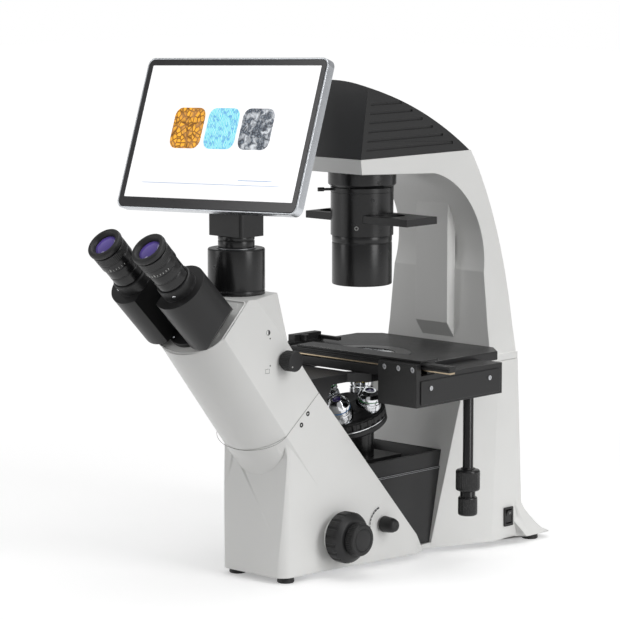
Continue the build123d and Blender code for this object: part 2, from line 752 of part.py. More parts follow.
# Stage support, plate and insert
STAGE_UNDER = STAGE_TOP - STAGE_THICK
with BuildPart() as stage_support:
    with BuildSketch(level(STAGE_UNDER - SUPPORT_THICK)):
        with BuildLine():
            Polyline(
                *mirrored([(SUPPORT_HALF, -117), (SUPPORT_HALF, -76), (SUPPORT_WIDE, -56), (SUPPORT_WIDE, 20)]),
                close=True,
            )
        make_face()
        with BuildLine():
            Polyline(*mirrored([(36, -66), (52, -50), (52, 21)]), close=True)
        make_face(mode=Mode.SUBTRACT)
    extrude(amount=SUPPORT_THICK)
    prism(
        side(0),
        [
            (back_of_column(188, -SEAT), 188),
            (back_of_column(STAGE_UNDER, -SEAT), STAGE_UNDER),
            (-100, STAGE_UNDER),
            (-100, STAGE_UNDER - SUPPORT_THICK),
        ],
        SUPPORT_HALF,
        both=True,
    )

with BuildPart() as stage_plate:
    prism(
        level(STAGE_UNDER + 0.05),
        mirrored(
            [
                (STAGE_HALF, -STAGE_FRONT),
                (STAGE_HALF, STAGE_REAR - STAGE_CORNER + 2),
                (STAGE_HALF - STAGE_CORNER, STAGE_REAR),
            ]
        ),
        STAGE_THICK - 0.05,
    )
    rod(above(0, 0, STAGE_TOP - INSERT_LIP), INSERT_R + FREE, 20, mode=Mode.SUBTRACT)
    rod(above(0, 0, STAGE_UNDER - 1), INSERT_R - 3, 20, mode=Mode.SUBTRACT)

with BuildPart() as stage_insert:
    turn(
        above(0, 0, STAGE_TOP - INSERT_LIP),
        [
            (INSERT_HOLE_R, 0),
            (INSERT_R, 0),
            (INSERT_R, INSERT_LIP),
            (INSERT_HOLE_R + 3, INSERT_LIP),
            (INSERT_HOLE_R + 3, 1.2),
            (INSERT_HOLE_R, 1.2),
        ],
    )

# Mechanical stage: carriage at the right of the plate
CARRIAGE_INNER = STAGE_HALF + 0.6
PLATE_BACK = -CARRIAGE_FRONT + CARRIAGE_PLATE
SLIDE_FRONT = PLATE_BACK + 0.2
SLIDE_BACK = SLIDE_FRONT + SLIDE_WIDTH
SLIDE_TOP = BAR_TOP - BAR_THICK - 0.2
SLIDE_FOOT = SLIDE_TOP - SLIDE_HEIGHT
CARRIAGE_SCREWS = (CARRIAGE_LEFT + 8.5, CARRIAGE_LEFT + 28.5, CARRIAGE_RIGHT - 6.5)
with BuildPart() as y_carriage:
    block((CARRIAGE_LEFT, CARRIAGE_RIGHT), (-CARRIAGE_FRONT, PLATE_BACK), (CARRIAGE_BOTTOM, CARRIAGE_PLATE_TOP))
    block((CARRIAGE_LEFT, CARRIAGE_RIGHT), (PLATE_BACK, CARRIAGE_REAR), (CARRIAGE_BOTTOM, STAGE_UNDER - SEAT))
    block((CARRIAGE_INNER, CARRIAGE_RIGHT), (PLATE_BACK, CARRIAGE_REAR), (CARRIAGE_BOTTOM, CARRIAGE_TOP))
    block(
        (CARRIAGE_INNER + CARRIAGE_WALL, CARRIAGE_RIGHT - CARRIAGE_WALL),
        (PLATE_BACK + CARRIAGE_WALL, CARRIAGE_REAR - CARRIAGE_WALL),
        (CARRIAGE_BOTTOM + CARRIAGE_WALL, CARRIAGE_TOP - CARRIAGE_WALL),
        mode=Mode.SUBTRACT,
    )
    rod(above(DRIVE_X, DRIVE_Y, CARRIAGE_BOTTOM - 1), DRIVE_ROD_R + RUNNING, 6, mode=Mode.SUBTRACT)
    for x in CARRIAGE_SCREWS:
        with Locations(Plane(origin=(x, -CARRIAGE_FRONT, CARRIAGE_PLATE_TOP - 6), x_dir=(1, 0, 0), z_dir=(0, -1, 0))):
            CounterBoreHole(1.6, 3.2, 4.0, depth=7)

with BuildPart() as carriage_screws:
    for x in CARRIAGE_SCREWS:
        head = Plane(origin=(x, -CARRIAGE_FRONT + 4.0, CARRIAGE_PLATE_TOP - 6), x_dir=(1, 0, 0), z_dir=(0, -1, 0))
        rod(head, 3.0, 3.0)
        rod(head.offset(-2.8), 1.5, 3)
        knurl(head.offset(1.2), 1.6, 0.25, 6, 3, mode=Mode.SUBTRACT)
    for y in (-48.0, 50.0):
        cap = sideways(CARRIAGE_RIGHT + 1.35, y, 210)
        rod(cap, 2.6, 0.9)
        rod(cap.offset(0.5), 1.2, 3, mode=Mode.SUBTRACT)

with BuildPart() as carriage_cover:
    pad(
        sideways(CARRIAGE_RIGHT + 0.1, (CARRIAGE_REAR - CARRIAGE_FRONT) / 2 + 1, (CARRIAGE_BOTTOM + CARRIAGE_TOP) / 2 - 1.5),
        CARRIAGE_FRONT + CARRIAGE_REAR - 11,
        CARRIAGE_TOP - CARRIAGE_BOTTOM - 8,
        2,
        1.2,
    )

with BuildPart() as stage_bar:
    block((-BAR_LEFT, CARRIAGE_RIGHT), (PLATE_BACK, PLATE_BACK + BAR_DEPTH), (BAR_TOP - BAR_THICK, BAR_TOP))
    block(
        (CARRIAGE_INNER + 1, CARRIAGE_RIGHT - 3),
        (SLIDE_BACK + 1.2, PLATE_BACK + BAR_DEPTH - 1),
        (CARRIAGE_TOP, BAR_TOP - BAR_THICK),
    )

with BuildPart() as x_slide:
    block((-SLIDE_LEFT, SLIDE_RIGHT), (SLIDE_FRONT, SLIDE_BACK), (SLIDE_FOOT, SLIDE_TOP))
    block(
        (-SLIDE_LEFT - 1, SLIDE_RIGHT + 1),
        (SLIDE_FRONT - 1, SLIDE_FRONT + 1.6),
        (SLIDE_FOOT + 2.2, SLIDE_TOP - 2.0),
        mode=Mode.SUBTRACT,
    )

with BuildPart() as x_rack:
    block((-SLIDE_LEFT, SLIDE_RIGHT), (SLIDE_FRONT + 2, SLIDE_BACK - 2), (SLIDE_FOOT - RACK_HEIGHT, SLIDE_FOOT))

# Specimen holder at the left end of the slide
HOLDER_FOOT = STAGE_TOP + 0.5
HOLDER_LEFT = 105.0
with BuildPart() as specimen_holder:
    block((-HOLDER_LEFT, -SLIDE_LEFT - 0.1), (SLIDE_FRONT, SLIDE_BACK), (HOLDER_FOOT + 2.5, HOLDER_FOOT + 5))
    block((-HOLDER_LEFT, -HOLDER_LEFT + 12), (SLIDE_FRONT, 38), (HOLDER_FOOT, HOLDER_FOOT + 2.6))
    block((-HOLDER_LEFT, -HOLDER_LEFT + 10), (-8, 36), (HOLDER_FOOT + 2.6, HOLDER_FOOT + 10))
    block((-HOLDER_LEFT + 10, -64), (31, 36), (HOLDER_FOOT + 2.6, HOLDER_FOOT + 6.5))
    rod(above(-HOLDER_LEFT + 10, 6, HOLDER_FOOT + 2.6), 6, 7)

# Coaxial drive of the mechanical stage
with BuildPart() as y_knob:
    rod(above(DRIVE_X, DRIVE_Y, Y_KNOB_Z[1] - 1), DRIVE_ROD_R, CARRIAGE_BOTTOM + 7.5 - Y_KNOB_Z[1])
    turn(
        above(DRIVE_X, DRIVE_Y, 0),
        [
            (0, Y_KNOB_Z[0]),
            (Y_KNOB_R - 1.6, Y_KNOB_Z[0]),
            (Y_KNOB_R, Y_KNOB_Z[0] + 1.4),
            (Y_KNOB_R, Y_KNOB_Z[1] - 2),
            (Y_KNOB_R - 2.4, Y_KNOB_Z[1]),
            (0, Y_KNOB_Z[1]),
        ],
    )
    rod(above(DRIVE_X, DRIVE_Y, 40), DRIVE_CORE_R + RUNNING, 200, mode=Mode.SUBTRACT)

with BuildPart() as x_knob:
    rod(above(DRIVE_X, DRIVE_Y, X_KNOB_Z[1] - 1), DRIVE_CORE_R, CARRIAGE_BOTTOM + 14 - X_KNOB_Z[1])
    turn(
        above(DRIVE_X, DRIVE_Y, 0),
        [
            (0, X_KNOB_Z[0]),
            (X_KNOB_R - 1.2, X_KNOB_Z[0]),
            (X_KNOB_R, X_KNOB_Z[0] + 1.2),
            (X_KNOB_R, X_KNOB_Z[1] - 1),
            (X_KNOB_R - 1, X_KNOB_Z[1]),
            (8.5, X_KNOB_Z[1]),
            (8.5, Y_KNOB_Z[0] - FREE),
            (0, Y_KNOB_Z[0] - FREE),
        ],
    )

# Arch casting over the rear body
ARCH_FOOT = SEAM_Z + FREE
ARCH_UNDER = [(60.0, 428.0), (-ARCH_FRONT, ARCH_BAND_Z)]
with BuildPart() as arch_casting:
    with BuildSketch(side(0), mode=Mode.PRIVATE) as arch_side:
        with BuildLine():
            Spline((COVER_BACK_Y, ARCH_TOP), (157, 366), (171, 284), (REAR_FACE - 2, ARCH_FOOT))
            Polyline((REAR_FACE - 2, ARCH_FOOT), (ARCH_WALL_Y, ARCH_FOOT), (ARCH_WALL_Y + 0.5, 312))
            ThreePointArc((ARCH_WALL_Y + 0.5, 312), (108, 401), ARCH_UNDER[0])
            Polyline(*ARCH_UNDER, (-ARCH_FRONT, ARCH_TOP), (COVER_BACK_Y, ARCH_TOP))
        make_face()
    extrude(arch_side.sketch, amount=100, both=True)
    prism(
        facing(0),
        mirrored(
            [
                (ARCH_HEAD_HALF, ARCH_TOP + 1),
                (ARCH_HEAD_HALF, ARCH_TOP - 1),
                ARCH_EDGE,
                (61, 366),
                (67, 313),
                (73.6, 249),
                (ARCH_FOOT_HALF, SEAM_Z - 1),
            ]
        ),
        300,
        both=True,
        mode=Mode.INTERSECT,
    )
    # Shelf that carries the rear of the stage
    prism(level(ARCH_FOOT), REAR_HEAD_PLAN, ARCH_SHELF)
    # Central pillar on the inner wall
    prism(
        side(0),
        [(PILLAR_Y, STAGE_TOP + 23), (PILLAR_Y, 400), (ARCH_WALL_Y + 2, 400), (ARCH_WALL_Y + 2, STAGE_TOP + 3)],
        PILLAR_HALF,
        both=True,
    )
    # Space for the lamp's lens in the arch head
    rod(above(0, 0, ARCH_BAND_Z - 20), LAMP_LENS_R + FREE, 40, mode=Mode.SUBTRACT)


def circle_centre(a, b, c):
    """Centre of the circle through three side-view points."""
    d = 2 * (a[0] * (b[1] - c[1]) + b[0] * (c[1] - a[1]) + c[0] * (a[1] - b[1]))
    squares = [p[0] ** 2 + p[1] ** 2 for p in (a, b, c)]
    u = squares[0] * (b[1] - c[1]) + squares[1] * (c[1] - a[1]) + squares[2] * (a[1] - b[1])
    v = squares[0] * (c[0] - b[0]) + squares[1] * (a[0] - c[0]) + squares[2] * (b[0] - a[0])
    return (u / d, v / d)


# Lamp cover with a crowned roof and ribbed sides
ROOF_POINTS = [(-COVER_NOSE_Y, COVER_PEAK), (45.4, 501.8), (COVER_BACK_Y, ARCH_TOP + 6.4)]
ROOF_CENTRE = circle_centre(*ROOF_POINTS)
ROOF_R = sqrt((ROOF_POINTS[0][0] - ROOF_CENTRE[0]) ** 2 + (ROOF_POINTS[0][1] - ROOF_CENTRE[1]) ** 2)
with BuildPart() as lamp_cover:
    prism(
        side(0),
        [
            (-COVER_NOSE_Y, COVER_PEAK),
            (-COVER_NOSE_Y + 10, COVER_PEAK + 20),
            (COVER_BACK_Y, COVER_PEAK + 20),
            (COVER_BACK_Y, ARCH_TOP + FREE),
            (-ARCH_FRONT, ARCH_TOP + FREE),
        ],
        ARCH_HEAD_HALF,
        both=True,
    )
    for way in SIDES.values():
        for rib in range(RIB_COUNT):
            z = RIB_FIRST + rib * RIB_PITCH
            block(
                sorted((way * (ARCH_HEAD_HALF - RIB_DEPTH), way * (ARCH_HEAD_HALF + 8))),
                (-ARCH_FRONT + (z - ARCH_TOP) * 0.16 + 7, 109 - (z - ARCH_TOP) * 1.75),
                (z, z + RIB_GROOVE),
                mode=Mode.SUBTRACT,
            )
    crown_plane = Plane(origin=(0, ROOF_CENTRE[0], ROOF_CENTRE[1]), x_dir=(1, 0, 0), z_dir=(0, -1, 0))
    crown_drop = COVER_CROWN_R - sqrt(COVER_CROWN_R**2 - 60.0**2)
    with BuildSketch(crown_plane, mode=Mode.PRIVATE) as crown:
        with BuildLine():
            ThreePointArc((-60, ROOF_R - crown_drop), (0, ROOF_R), (60, ROOF_R - crown_drop))
            Polyline((60, ROOF_R - crown_drop), (60, ROOF_R - 130), (-60, ROOF_R - 130), (-60, ROOF_R - crown_drop))
        make_face()
    revolve(crown.sketch, axis=Axis(crown_plane.origin, (1, 0, 0)), mode=Mode.INTERSECT)
    block((-38, 38), (-38, 48), (ARCH_TOP - 1, ARCH_TOP + 30), mode=Mode.SUBTRACT)

with BuildPart() as lamp_lens:
    turn(
        above(0, 0, ARCH_BAND_Z),
        [(0, 2), (LAMP_LENS_R, 2), (LAMP_LENS_R, 12), (16, 14.5), (0, 15.6)],
    )

# Condenser below the arch head
MOUNT_FOOT = CONDENSER_RING + APERTURE_RING + 0.4
with BuildPart() as condenser_mount:
    turn(
        above(0, 0, 0),
        [
            (CONDENSER_BORE, MOUNT_FOOT),
            (CONDENSER_R, MOUNT_FOOT),
            (CONDENSER_R + 3, MOUNT_FOOT + 3),
            (CONDENSER_R + 3, ARCH_BAND_Z + 10),
            (CONDENSER_BORE, ARCH_BAND_Z + 10),
        ],
    )
    prism(
        side(0),
        [
            (ARCH_UNDER[0][0], ARCH_UNDER[0][1] - 0.1),
            (ARCH_UNDER[1][0], ARCH_UNDER[1][1] - 0.1),
            (-ARCH_FRONT, ARCH_TOP),
            (60, ARCH_TOP),
        ],
        60,
        both=True,
        mode=Mode.SUBTRACT,
    )

with BuildPart() as condenser_body:
    turn(
        above(0, 0, 0),
        [
            (CONDENSER_BORE, CONDENSER_STEP + 0.2),
            (CONDENSER_R, CONDENSER_STEP + 0.2),
            (CONDENSER_R, CONDENSER_RING),
            (CONDENSER_NECK, CONDENSER_RING),
            (CONDENSER_NECK, MOUNT_FOOT - 0.1),
            (CONDENSER_BORE, MOUNT_FOOT - 0.1),
        ],
    )
    block(
        (-50, 50),
        (-PHASE_WIDTH / 2 - SEAT, PHASE_WIDTH / 2 + SEAT),
        (PHASE_Z - SEAT, PHASE_Z + PHASE_HEIGHT + SEAT),
        mode=Mode.SUBTRACT,
    )

with BuildPart() as aperture_ring:
    turn(
        above(0, 0, CONDENSER_RING + 0.2),
        [
            (CONDENSER_NECK + RUNNING, 0),
            (CONDENSER_R + 0.2, 0),
            (CONDENSER_R + 0.2, APERTURE_RING - 0.2),
            (CONDENSER_NECK + RUNNING, APERTURE_RING - 0.2),
        ],
    )
    lever = Plane(origin=(0, 0, CONDENSER_RING + APERTURE_RING / 2), z_dir=(-0.6, -0.8, 0))
    rod(lever.offset(CONDENSER_R - 2), 1.5, 17)
    rod(lever.offset(CONDENSER_R + 8), 2.3, 7)

with BuildPart() as condenser_tube:
    turn(
        above(0, 0, 0),
        [
            (CONDENSER_TUBE_R - 5, CONDENSER_FOOT),
            (CONDENSER_TUBE_R - 1.2, CONDENSER_FOOT),
            (CONDENSER_TUBE_R, CONDENSER_FOOT + 1.2),
            (CONDENSER_TUBE_R, CONDENSER_STEP),
            (CONDENSER_BORE, CONDENSER_STEP),
            (CONDENSER_BORE, CONDENSER_FOOT + 13),
            (CONDENSER_TUBE_R - 5, CONDENSER_FOOT + 13),
        ],
    )

with BuildPart() as condenser_lens:
    turn(
        above(0, 0, CONDENSER_FOOT),
        [
            (0, 4),
            (18, 5.5),
            (CONDENSER_TUBE_R - 5.3, 8.2),
            (CONDENSER_TUBE_R - 5.3, 12.8),
            (0, 12.8),
        ],
    )

with BuildPart() as phase_slider:
    block((-PHASE_LEFT, PHASE_RIGHT), (-PHASE_WIDTH / 2, PHASE_WIDTH / 2), (PHASE_Z, PHASE_Z + PHASE_HEIGHT))
    for x in (-44.0, 0.0, 44.0):
        rod(above(x, 0, PHASE_Z - 1), 15.0, 20, mode=Mode.SUBTRACT)

# Coarse and fine focus
with BuildPart() as coarse_sleeve:
    for way in SIDES.values():
        rod(sideways(way * 7, FOCUS_Y, FOCUS_Z, way), SLEEVE_R, COARSE_OUT - 13)
    knurl(sideways(-8, FOCUS_Y, FOCUS_Z), PINION_R + 0.6, 1.6, PINION_TEETH, 16)
    rod(sideways(-COARSE_OUT, FOCUS_Y, FOCUS_Z), SHAFT_R + RUNNING, 2 * COARSE_OUT, mode=Mode.SUBTRACT)

with BuildPart() as knob_bosses:
    for way in SIDES.values():
        turn(
            sideways(0, FOCUS_Y, FOCUS_Z, way),
            [
                (SLEEVE_R + RUNNING, BOSS_FOOT - 3),
                (9.0, BOSS_FOOT - 3),
                (9.0, BOSS_FOOT),
                (BOSS_R, BOSS_FOOT),
                (BOSS_R - 1.2, BOSS_FOOT + BOSS_THICK),
                (SLEEVE_R + RUNNING, BOSS_FOOT + BOSS_THICK),
            ],
        )

with BuildPart() as coarse_knobs:
    for way in SIDES.values():
        inner = sideways(way * COARSE_IN, FOCUS_Y, FOCUS_Z, way)
        knurl(inner, COARSE_R, 1.6, 18, 14)
        turn(
            inner,
            [
                (SLEEVE_R, 0),
                (COARSE_R - 2, 0),
                (COARSE_R - 1.8, 14),
                (COARSE_R - 7, COARSE_OUT - COARSE_IN - 0.3),
                (SLEEVE_R, COARSE_OUT - COARSE_IN - 0.3),
            ],
        )
        rod(inner.offset(-1), SLEEVE_R + 0.02, 40, mode=Mode.SUBTRACT)

with BuildPart() as fine_knobs:
    for way in SIDES.values():
        inner = sideways(way * (COARSE_OUT + FREE), FOCUS_Y, FOCUS_Z, way)
        knurl(inner, FINE_R, 0.7, 44, FINE_OUT - COARSE_OUT - 2)
        rod(inner, FINE_R - 1.2, FINE_OUT - COARSE_OUT - FREE)
        rod(inner.offset(-1), SHAFT_R + 0.02, 7, mode=Mode.SUBTRACT)

with BuildPart() as fine_shaft:
    rod(sideways(-COARSE_OUT - 6, FOCUS_Y, FOCUS_Z), SHAFT_R, 2 * COARSE_OUT + 12)

LIGHT_FACE = half_width(LIGHT_KNOB_Y) + 1.4
with BuildPart() as light_knob:
    turn(
        sideways(LIGHT_FACE, LIGHT_KNOB_Y, LIGHT_KNOB_Z),
        [(0, 0), (LIGHT_KNOB_R, 0), (LIGHT_KNOB_R - 1.2, 12), (LIGHT_KNOB_R - 3.5, LIGHT_KNOB_LONG), (0, LIGHT_KNOB_LONG)],
    )
    rod(sideways(CAVITY_HALF - 6, LIGHT_KNOB_Y, LIGHT_KNOB_Z), 3.0, LIGHT_FACE - CAVITY_HALF + 7)

# Binocular: hub, tube housings, eyepieces and dioptre rings
PIN_TOP = HUB_PLATE + 47.0
HUB = at_point(HINGE, 0, -HUB_SHIFT)
with BuildPart() as binocular_hub:
    rod(HUB.offset(0.1), HUB_R, HUB_PLATE)
    rod(HINGE.offset(0.1), HINGE_PIN_R, PIN_TOP)
    turn(HINGE.offset(PIN_TOP), [(0, 0), (9, 0), (9, 5), (7, 7), (0, 7)])
    rod(HINGE.offset(-1), HINGE_PIN_R - 2.5, PIN_TOP - 4, mode=Mode.SUBTRACT)
    with Locations(HUB.offset(HUB_PLATE + 0.1)):
        with PolarLocations(HUB_SCREW_CIRCLE, HUB_SCREWS):
            CounterBoreHole(1.5, 2.8, 1.9, depth=HUB_PLATE)

with BuildPart() as head_screws:
    with Locations(HUB.offset(HUB_PLATE - 1.7)):
        with PolarLocations(HUB_SCREW_CIRCLE, HUB_SCREWS):
            Cylinder(2.6, 1.7, align=UP)
            Cylinder(1.4, HUB_PLATE - 1.8, align=(Align.CENTER, Align.CENTER, Align.MAX))
    with Locations(HUB.offset(HUB_PLATE - 0.9)):
        with PolarLocations(HUB_SCREW_CIRCLE, HUB_SCREWS):
            Cylinder(1.2, 2, align=UP, mode=Mode.SUBTRACT)

LUGS = {"left": (HOUSING_FOOT + 0.3, LUG_SPLIT), "right": (LUG_SPLIT + 0.6, 2 * LUG_SPLIT)}
housings, eyepieces, dioptre_rings = {}, {}, {}
for name, way in SIDES.items():
    eye = at_point(HINGE, way * EYE_HALF, -EYE_DROP)
    foot, head = LUGS[name]
    with BuildPart() as housing:
        with BuildSketch(eye.offset(HOUSING_FOOT), mode=Mode.PRIVATE) as housing_section:
            Circle(HOUSING_R)
            with Locations((-way * (HOUSING_FLAT + 20), 0)):
                Rectangle(40, 80, mode=Mode.SUBTRACT)
        extrude(housing_section.sketch, amount=HOUSING_TOP - HOUSING_FOOT)
        with BuildSketch(HINGE.offset(foot), mode=Mode.PRIVATE) as lug_section:
            Circle(12)
            with Locations((way * EYE_HALF, -EYE_DROP)):
                Circle(16)
            make_hull()
        extrude(lug_section.sketch, amount=head - foot)
        turn(eye.offset(HOUSING_TOP), [(0, 0), (CUP_R, 0), (CUP_R, 12), (CUP_R - 1, 13), (0, 13)])
        # The lower end is cut back on the outer side, where it swings over the head's face
        prism(
            Plane(origin=eye.origin, x_dir=(way, 0, 0), z_dir=eye.y_dir * -way),
            [(HOUSING_CUT, HOUSING_FOOT - 2), (HOUSING_R + 20, HOUSING_FOOT - 2), (HOUSING_R + 20, HOUSING_FOOT + 36)],
            60,
            both=True,
            mode=Mode.SUBTRACT,
        )
        rod(HINGE.offset(0), HINGE_PIN_R + RUNNING, 90, mode=Mode.SUBTRACT)
        rod(eye.offset(HOUSING_TOP - 40), TUBE_R + 0.02, 60, mode=Mode.SUBTRACT)
    with BuildPart() as eyepiece:
        turn(
            eye,
            [
                (0, HOUSING_TOP - 30),
                (TUBE_R, HOUSING_TOP - 30),
                (TUBE_R, HOUSING_TOP + 13.2),
                (17.5, HOUSING_TOP + 13.2),
                (17.5, EYE_HEIGHT - 28),
                (16.5, EYE_HEIGHT - 28),
                (16.5, EYE_HEIGHT - 7),
                (CUP_R - 1, EYE_HEIGHT - 6.5),
                (CUP_R, EYE_HEIGHT - 4),
                (CUP_R - 1, EYE_HEIGHT),
                (EYE_LENS_R + 2.5, EYE_HEIGHT),
                (EYE_LENS_R, EYE_HEIGHT - 2.5),
                (EYE_LENS_R, EYE_HEIGHT - 6),
                (EYE_LENS_R - 4, EYE_HEIGHT - 4.9),
                (0, EYE_HEIGHT - 4.4),
            ],
        )
    with BuildPart() as dioptre_ring:
        knurl(eye.offset(EYE_HEIGHT - 27.6), 18.6, 0.3, 40, 20)
        rod(eye.offset(EYE_HEIGHT - 28), 16.5 + RUNNING, 24, mode=Mode.SUBTRACT)
    housings[name] = housing
    eyepieces[name] = eyepiece
    dioptre_rings[name] = dioptre_ring

# Phototube, camera and tablet
with BuildPart() as phototube:
    turn(
        above(0, PHOTO_Y, HEAD_TOP + 0.1),
        [
            (PHOTO_BORE, 0),
            (PHOTO_R, 0),
            (PHOTO_R, PHOTO_TOP - HEAD_TOP - 1),
            (PHOTO_R - 1, PHOTO_TOP - HEAD_TOP),
            (PHOTO_BORE, PHOTO_TOP - HEAD_TOP),
        ],
    )

with BuildPart() as camera_adapter:
    turn(
        above(0, PHOTO_Y, PHOTO_TOP),
        [
            (10, -15),
            (PHOTO_BORE - RUNNING, -15),
            (PHOTO_BORE - RUNNING, 0.4),
            (CAMERA_NECK_R, 0.4),
            (CAMERA_NECK_R, CAMERA_Z - PHOTO_TOP),
            (10, CAMERA_Z - PHOTO_TOP),
        ],
    )

LEAN = radians(TABLET_LEAN)
TURN = radians(TABLET_TURN)
SCREEN_UP = Vector(0, sin(LEAN), cos(LEAN))
SCREEN_OUT = Vector(0, -cos(LEAN), sin(LEAN))
TABLET_MIDDLE = Vector(0, TABLET_Y, TABLET_Z)
TABLET = Plane(
    origin=TABLET_MIDDLE,
    x_dir=Vector(1, 0, 0) * cos(TURN) + SCREEN_UP * sin(TURN),
    z_dir=SCREEN_OUT,
)
BRACKET = Plane(origin=TABLET_MIDDLE, x_dir=(1, 0, 0), z_dir=SCREEN_OUT)
TILT_AXIS = TABLET_MIDDLE - SCREEN_UP * TILT_DROP - SCREEN_OUT * (TABLET_THICK / 2 + TILT_BACK)

with BuildPart() as camera_body:
    block(
        (-CAMERA_WIDTH / 2, CAMERA_WIDTH / 2),
        (PHOTO_Y - CAMERA_DEPTH / 2, PHOTO_Y + CAMERA_DEPTH / 2),
        (CAMERA_Z + 0.1, CAMERA_TOP),
    )
    fillet(camera_body.edges().filter_by(Axis.Z), 4)
    block((-9, 9), (TILT_AXIS.Y - 5, TILT_AXIS.Y + 5), (CAMERA_TOP - 1, TILT_AXIS.Z))
    rod(sideways(-9, TILT_AXIS.Y, TILT_AXIS.Z), 5, 18)
    rod(sideways(-30, TILT_AXIS.Y, TILT_AXIS.Z), TILT_PIN_R + RUNNING, 60, mode=Mode.SUBTRACT)

with BuildPart() as tablet_bracket:
    pad(at_point(BRACKET, 0, -TILT_DROP, -TABLET_THICK / 2 - 0.1), 70, 50, 4, -2.4)
    for way in SIDES.values():
        plate_point = TABLET_MIDDLE - SCREEN_UP * TILT_DROP - SCREEN_OUT * (TABLET_THICK / 2 + 2)
        with BuildSketch(sideways(9.5 if way > 0 else -13.5, 0, 0), mode=Mode.PRIVATE) as ear:
            with Locations((TILT_AXIS.Y, TILT_AXIS.Z)):
                Circle(5)
            with Locations((plate_point.Y, plate_point.Z)):
                Circle(2)
            make_hull()
        extrude(ear.sketch, amount=4)
    rod(sideways(-13.6, TILT_AXIS.Y, TILT_AXIS.Z), TILT_PIN_R, 27.2)

with BuildPart() as tablet_shell:
    pad(TABLET.offset(-TABLET_THICK / 2), TABLET_WIDTH, TABLET_HEIGHT, 9, TABLET_THICK)
    pad(TABLET.offset(TABLET_THICK / 2 - 2.5), TABLET_WIDTH - 4, TABLET_HEIGHT - 4, 7, 5, mode=Mode.SUBTRACT)

BEZEL_SHIFT = 2.0
with BuildPart() as tablet_bezel:
    pad(TABLET.offset(TABLET_THICK / 2 - 2.4), TABLET_WIDTH - 4.4, TABLET_HEIGHT - 4.4, 7, 2.2)
    pad(
        at_point(TABLET, 0, BEZEL_SHIFT, TABLET_THICK / 2 - 1.4),
        TABLET_WIDTH - 17,
        TABLET_HEIGHT - 21,
        1,
        5,
        mode=Mode.SUBTRACT,
    )

with BuildPart() as tablet_screen:
    pad(
        at_point(TABLET, 0, BEZEL_SHIFT, TABLET_THICK / 2 - 1.3),
        TABLET_WIDTH - 17.4,
        TABLET_HEIGHT - 21.4,
        1,
        1.0,
    )

# Power parts
SWITCH_X = rear_half(SWITCH_Z - SWITCH_HEIGHT / 2 - 1.3)
ROCKER_AXIS = rearward(SWITCH_X - 5, SWITCH_Y, SWITCH_Z)
with BuildPart() as switch_frame:
    pad(sideways(SWITCH_X + 0.1, SWITCH_Y, SWITCH_Z), SWITCH_WIDTH + 2.6, SWITCH_HEIGHT + 2.6, 1.2, 1.6)
    pad(sideways(SWITCH_X - 16, SWITCH_Y, SWITCH_Z), SWITCH_WIDTH - 0.5, SWITCH_HEIGHT - 0.5, 0.8, 17)
    pad(
        sideways(SWITCH_X - 10, SWITCH_Y, SWITCH_Z),
        SWITCH_WIDTH - 3,
        SWITCH_HEIGHT - 3,
        0.6,
        30,
        mode=Mode.SUBTRACT,
    )
    rod(ROCKER_AXIS.offset(-SWITCH_WIDTH / 2), ROCKER_PIN_R + RUNNING, SWITCH_WIDTH, mode=Mode.SUBTRACT)

with BuildPart() as switch_rocker:
    rocker_half = SWITCH_HEIGHT / 2 - 2.2
    rocker_low = SWITCH_HEIGHT / 2 - 2.9
    rod(ROCKER_AXIS.offset(-SWITCH_WIDTH / 2 + 0.8), ROCKER_PIN_R, SWITCH_WIDTH - 1.6)
    prism(
        facing(SWITCH_Y + SWITCH_WIDTH / 2 - 2),
        [
            (SWITCH_X - 6, SWITCH_Z - rocker_low + 2),
            (SWITCH_X + 1.6, SWITCH_Z - rocker_low),
            (SWITCH_X + 1.2, SWITCH_Z),
            (SWITCH_X + 4.0, SWITCH_Z + rocker_half),
            (SWITCH_X - 6, SWITCH_Z + rocker_half - 2),
        ],
        SWITCH_WIDTH - 4,
    )

with BuildPart() as power_inlet:
    pad(rearward(0, REAR_FACE - 18, INLET_Z), INLET_WIDTH - 0.6, INLET_HEIGHT - 0.6, 2.8, 19)
    pad(rearward(0, REAR_FACE + 0.2, INLET_Z), INLET_WIDTH + 13, INLET_HEIGHT + 6, 4, 2)
    pad(rearward(0, REAR_FACE - 14, INLET_Z), INLET_WIDTH - 5, INLET_HEIGHT - 5, 2.5, 20, mode=Mode.SUBTRACT)
    for x in (-7, 0, 7):
        block((x - 1, x + 1), (REAR_FACE - 15, REAR_FACE - 2), (INLET_Z - 2.5, INLET_Z + 2.5))

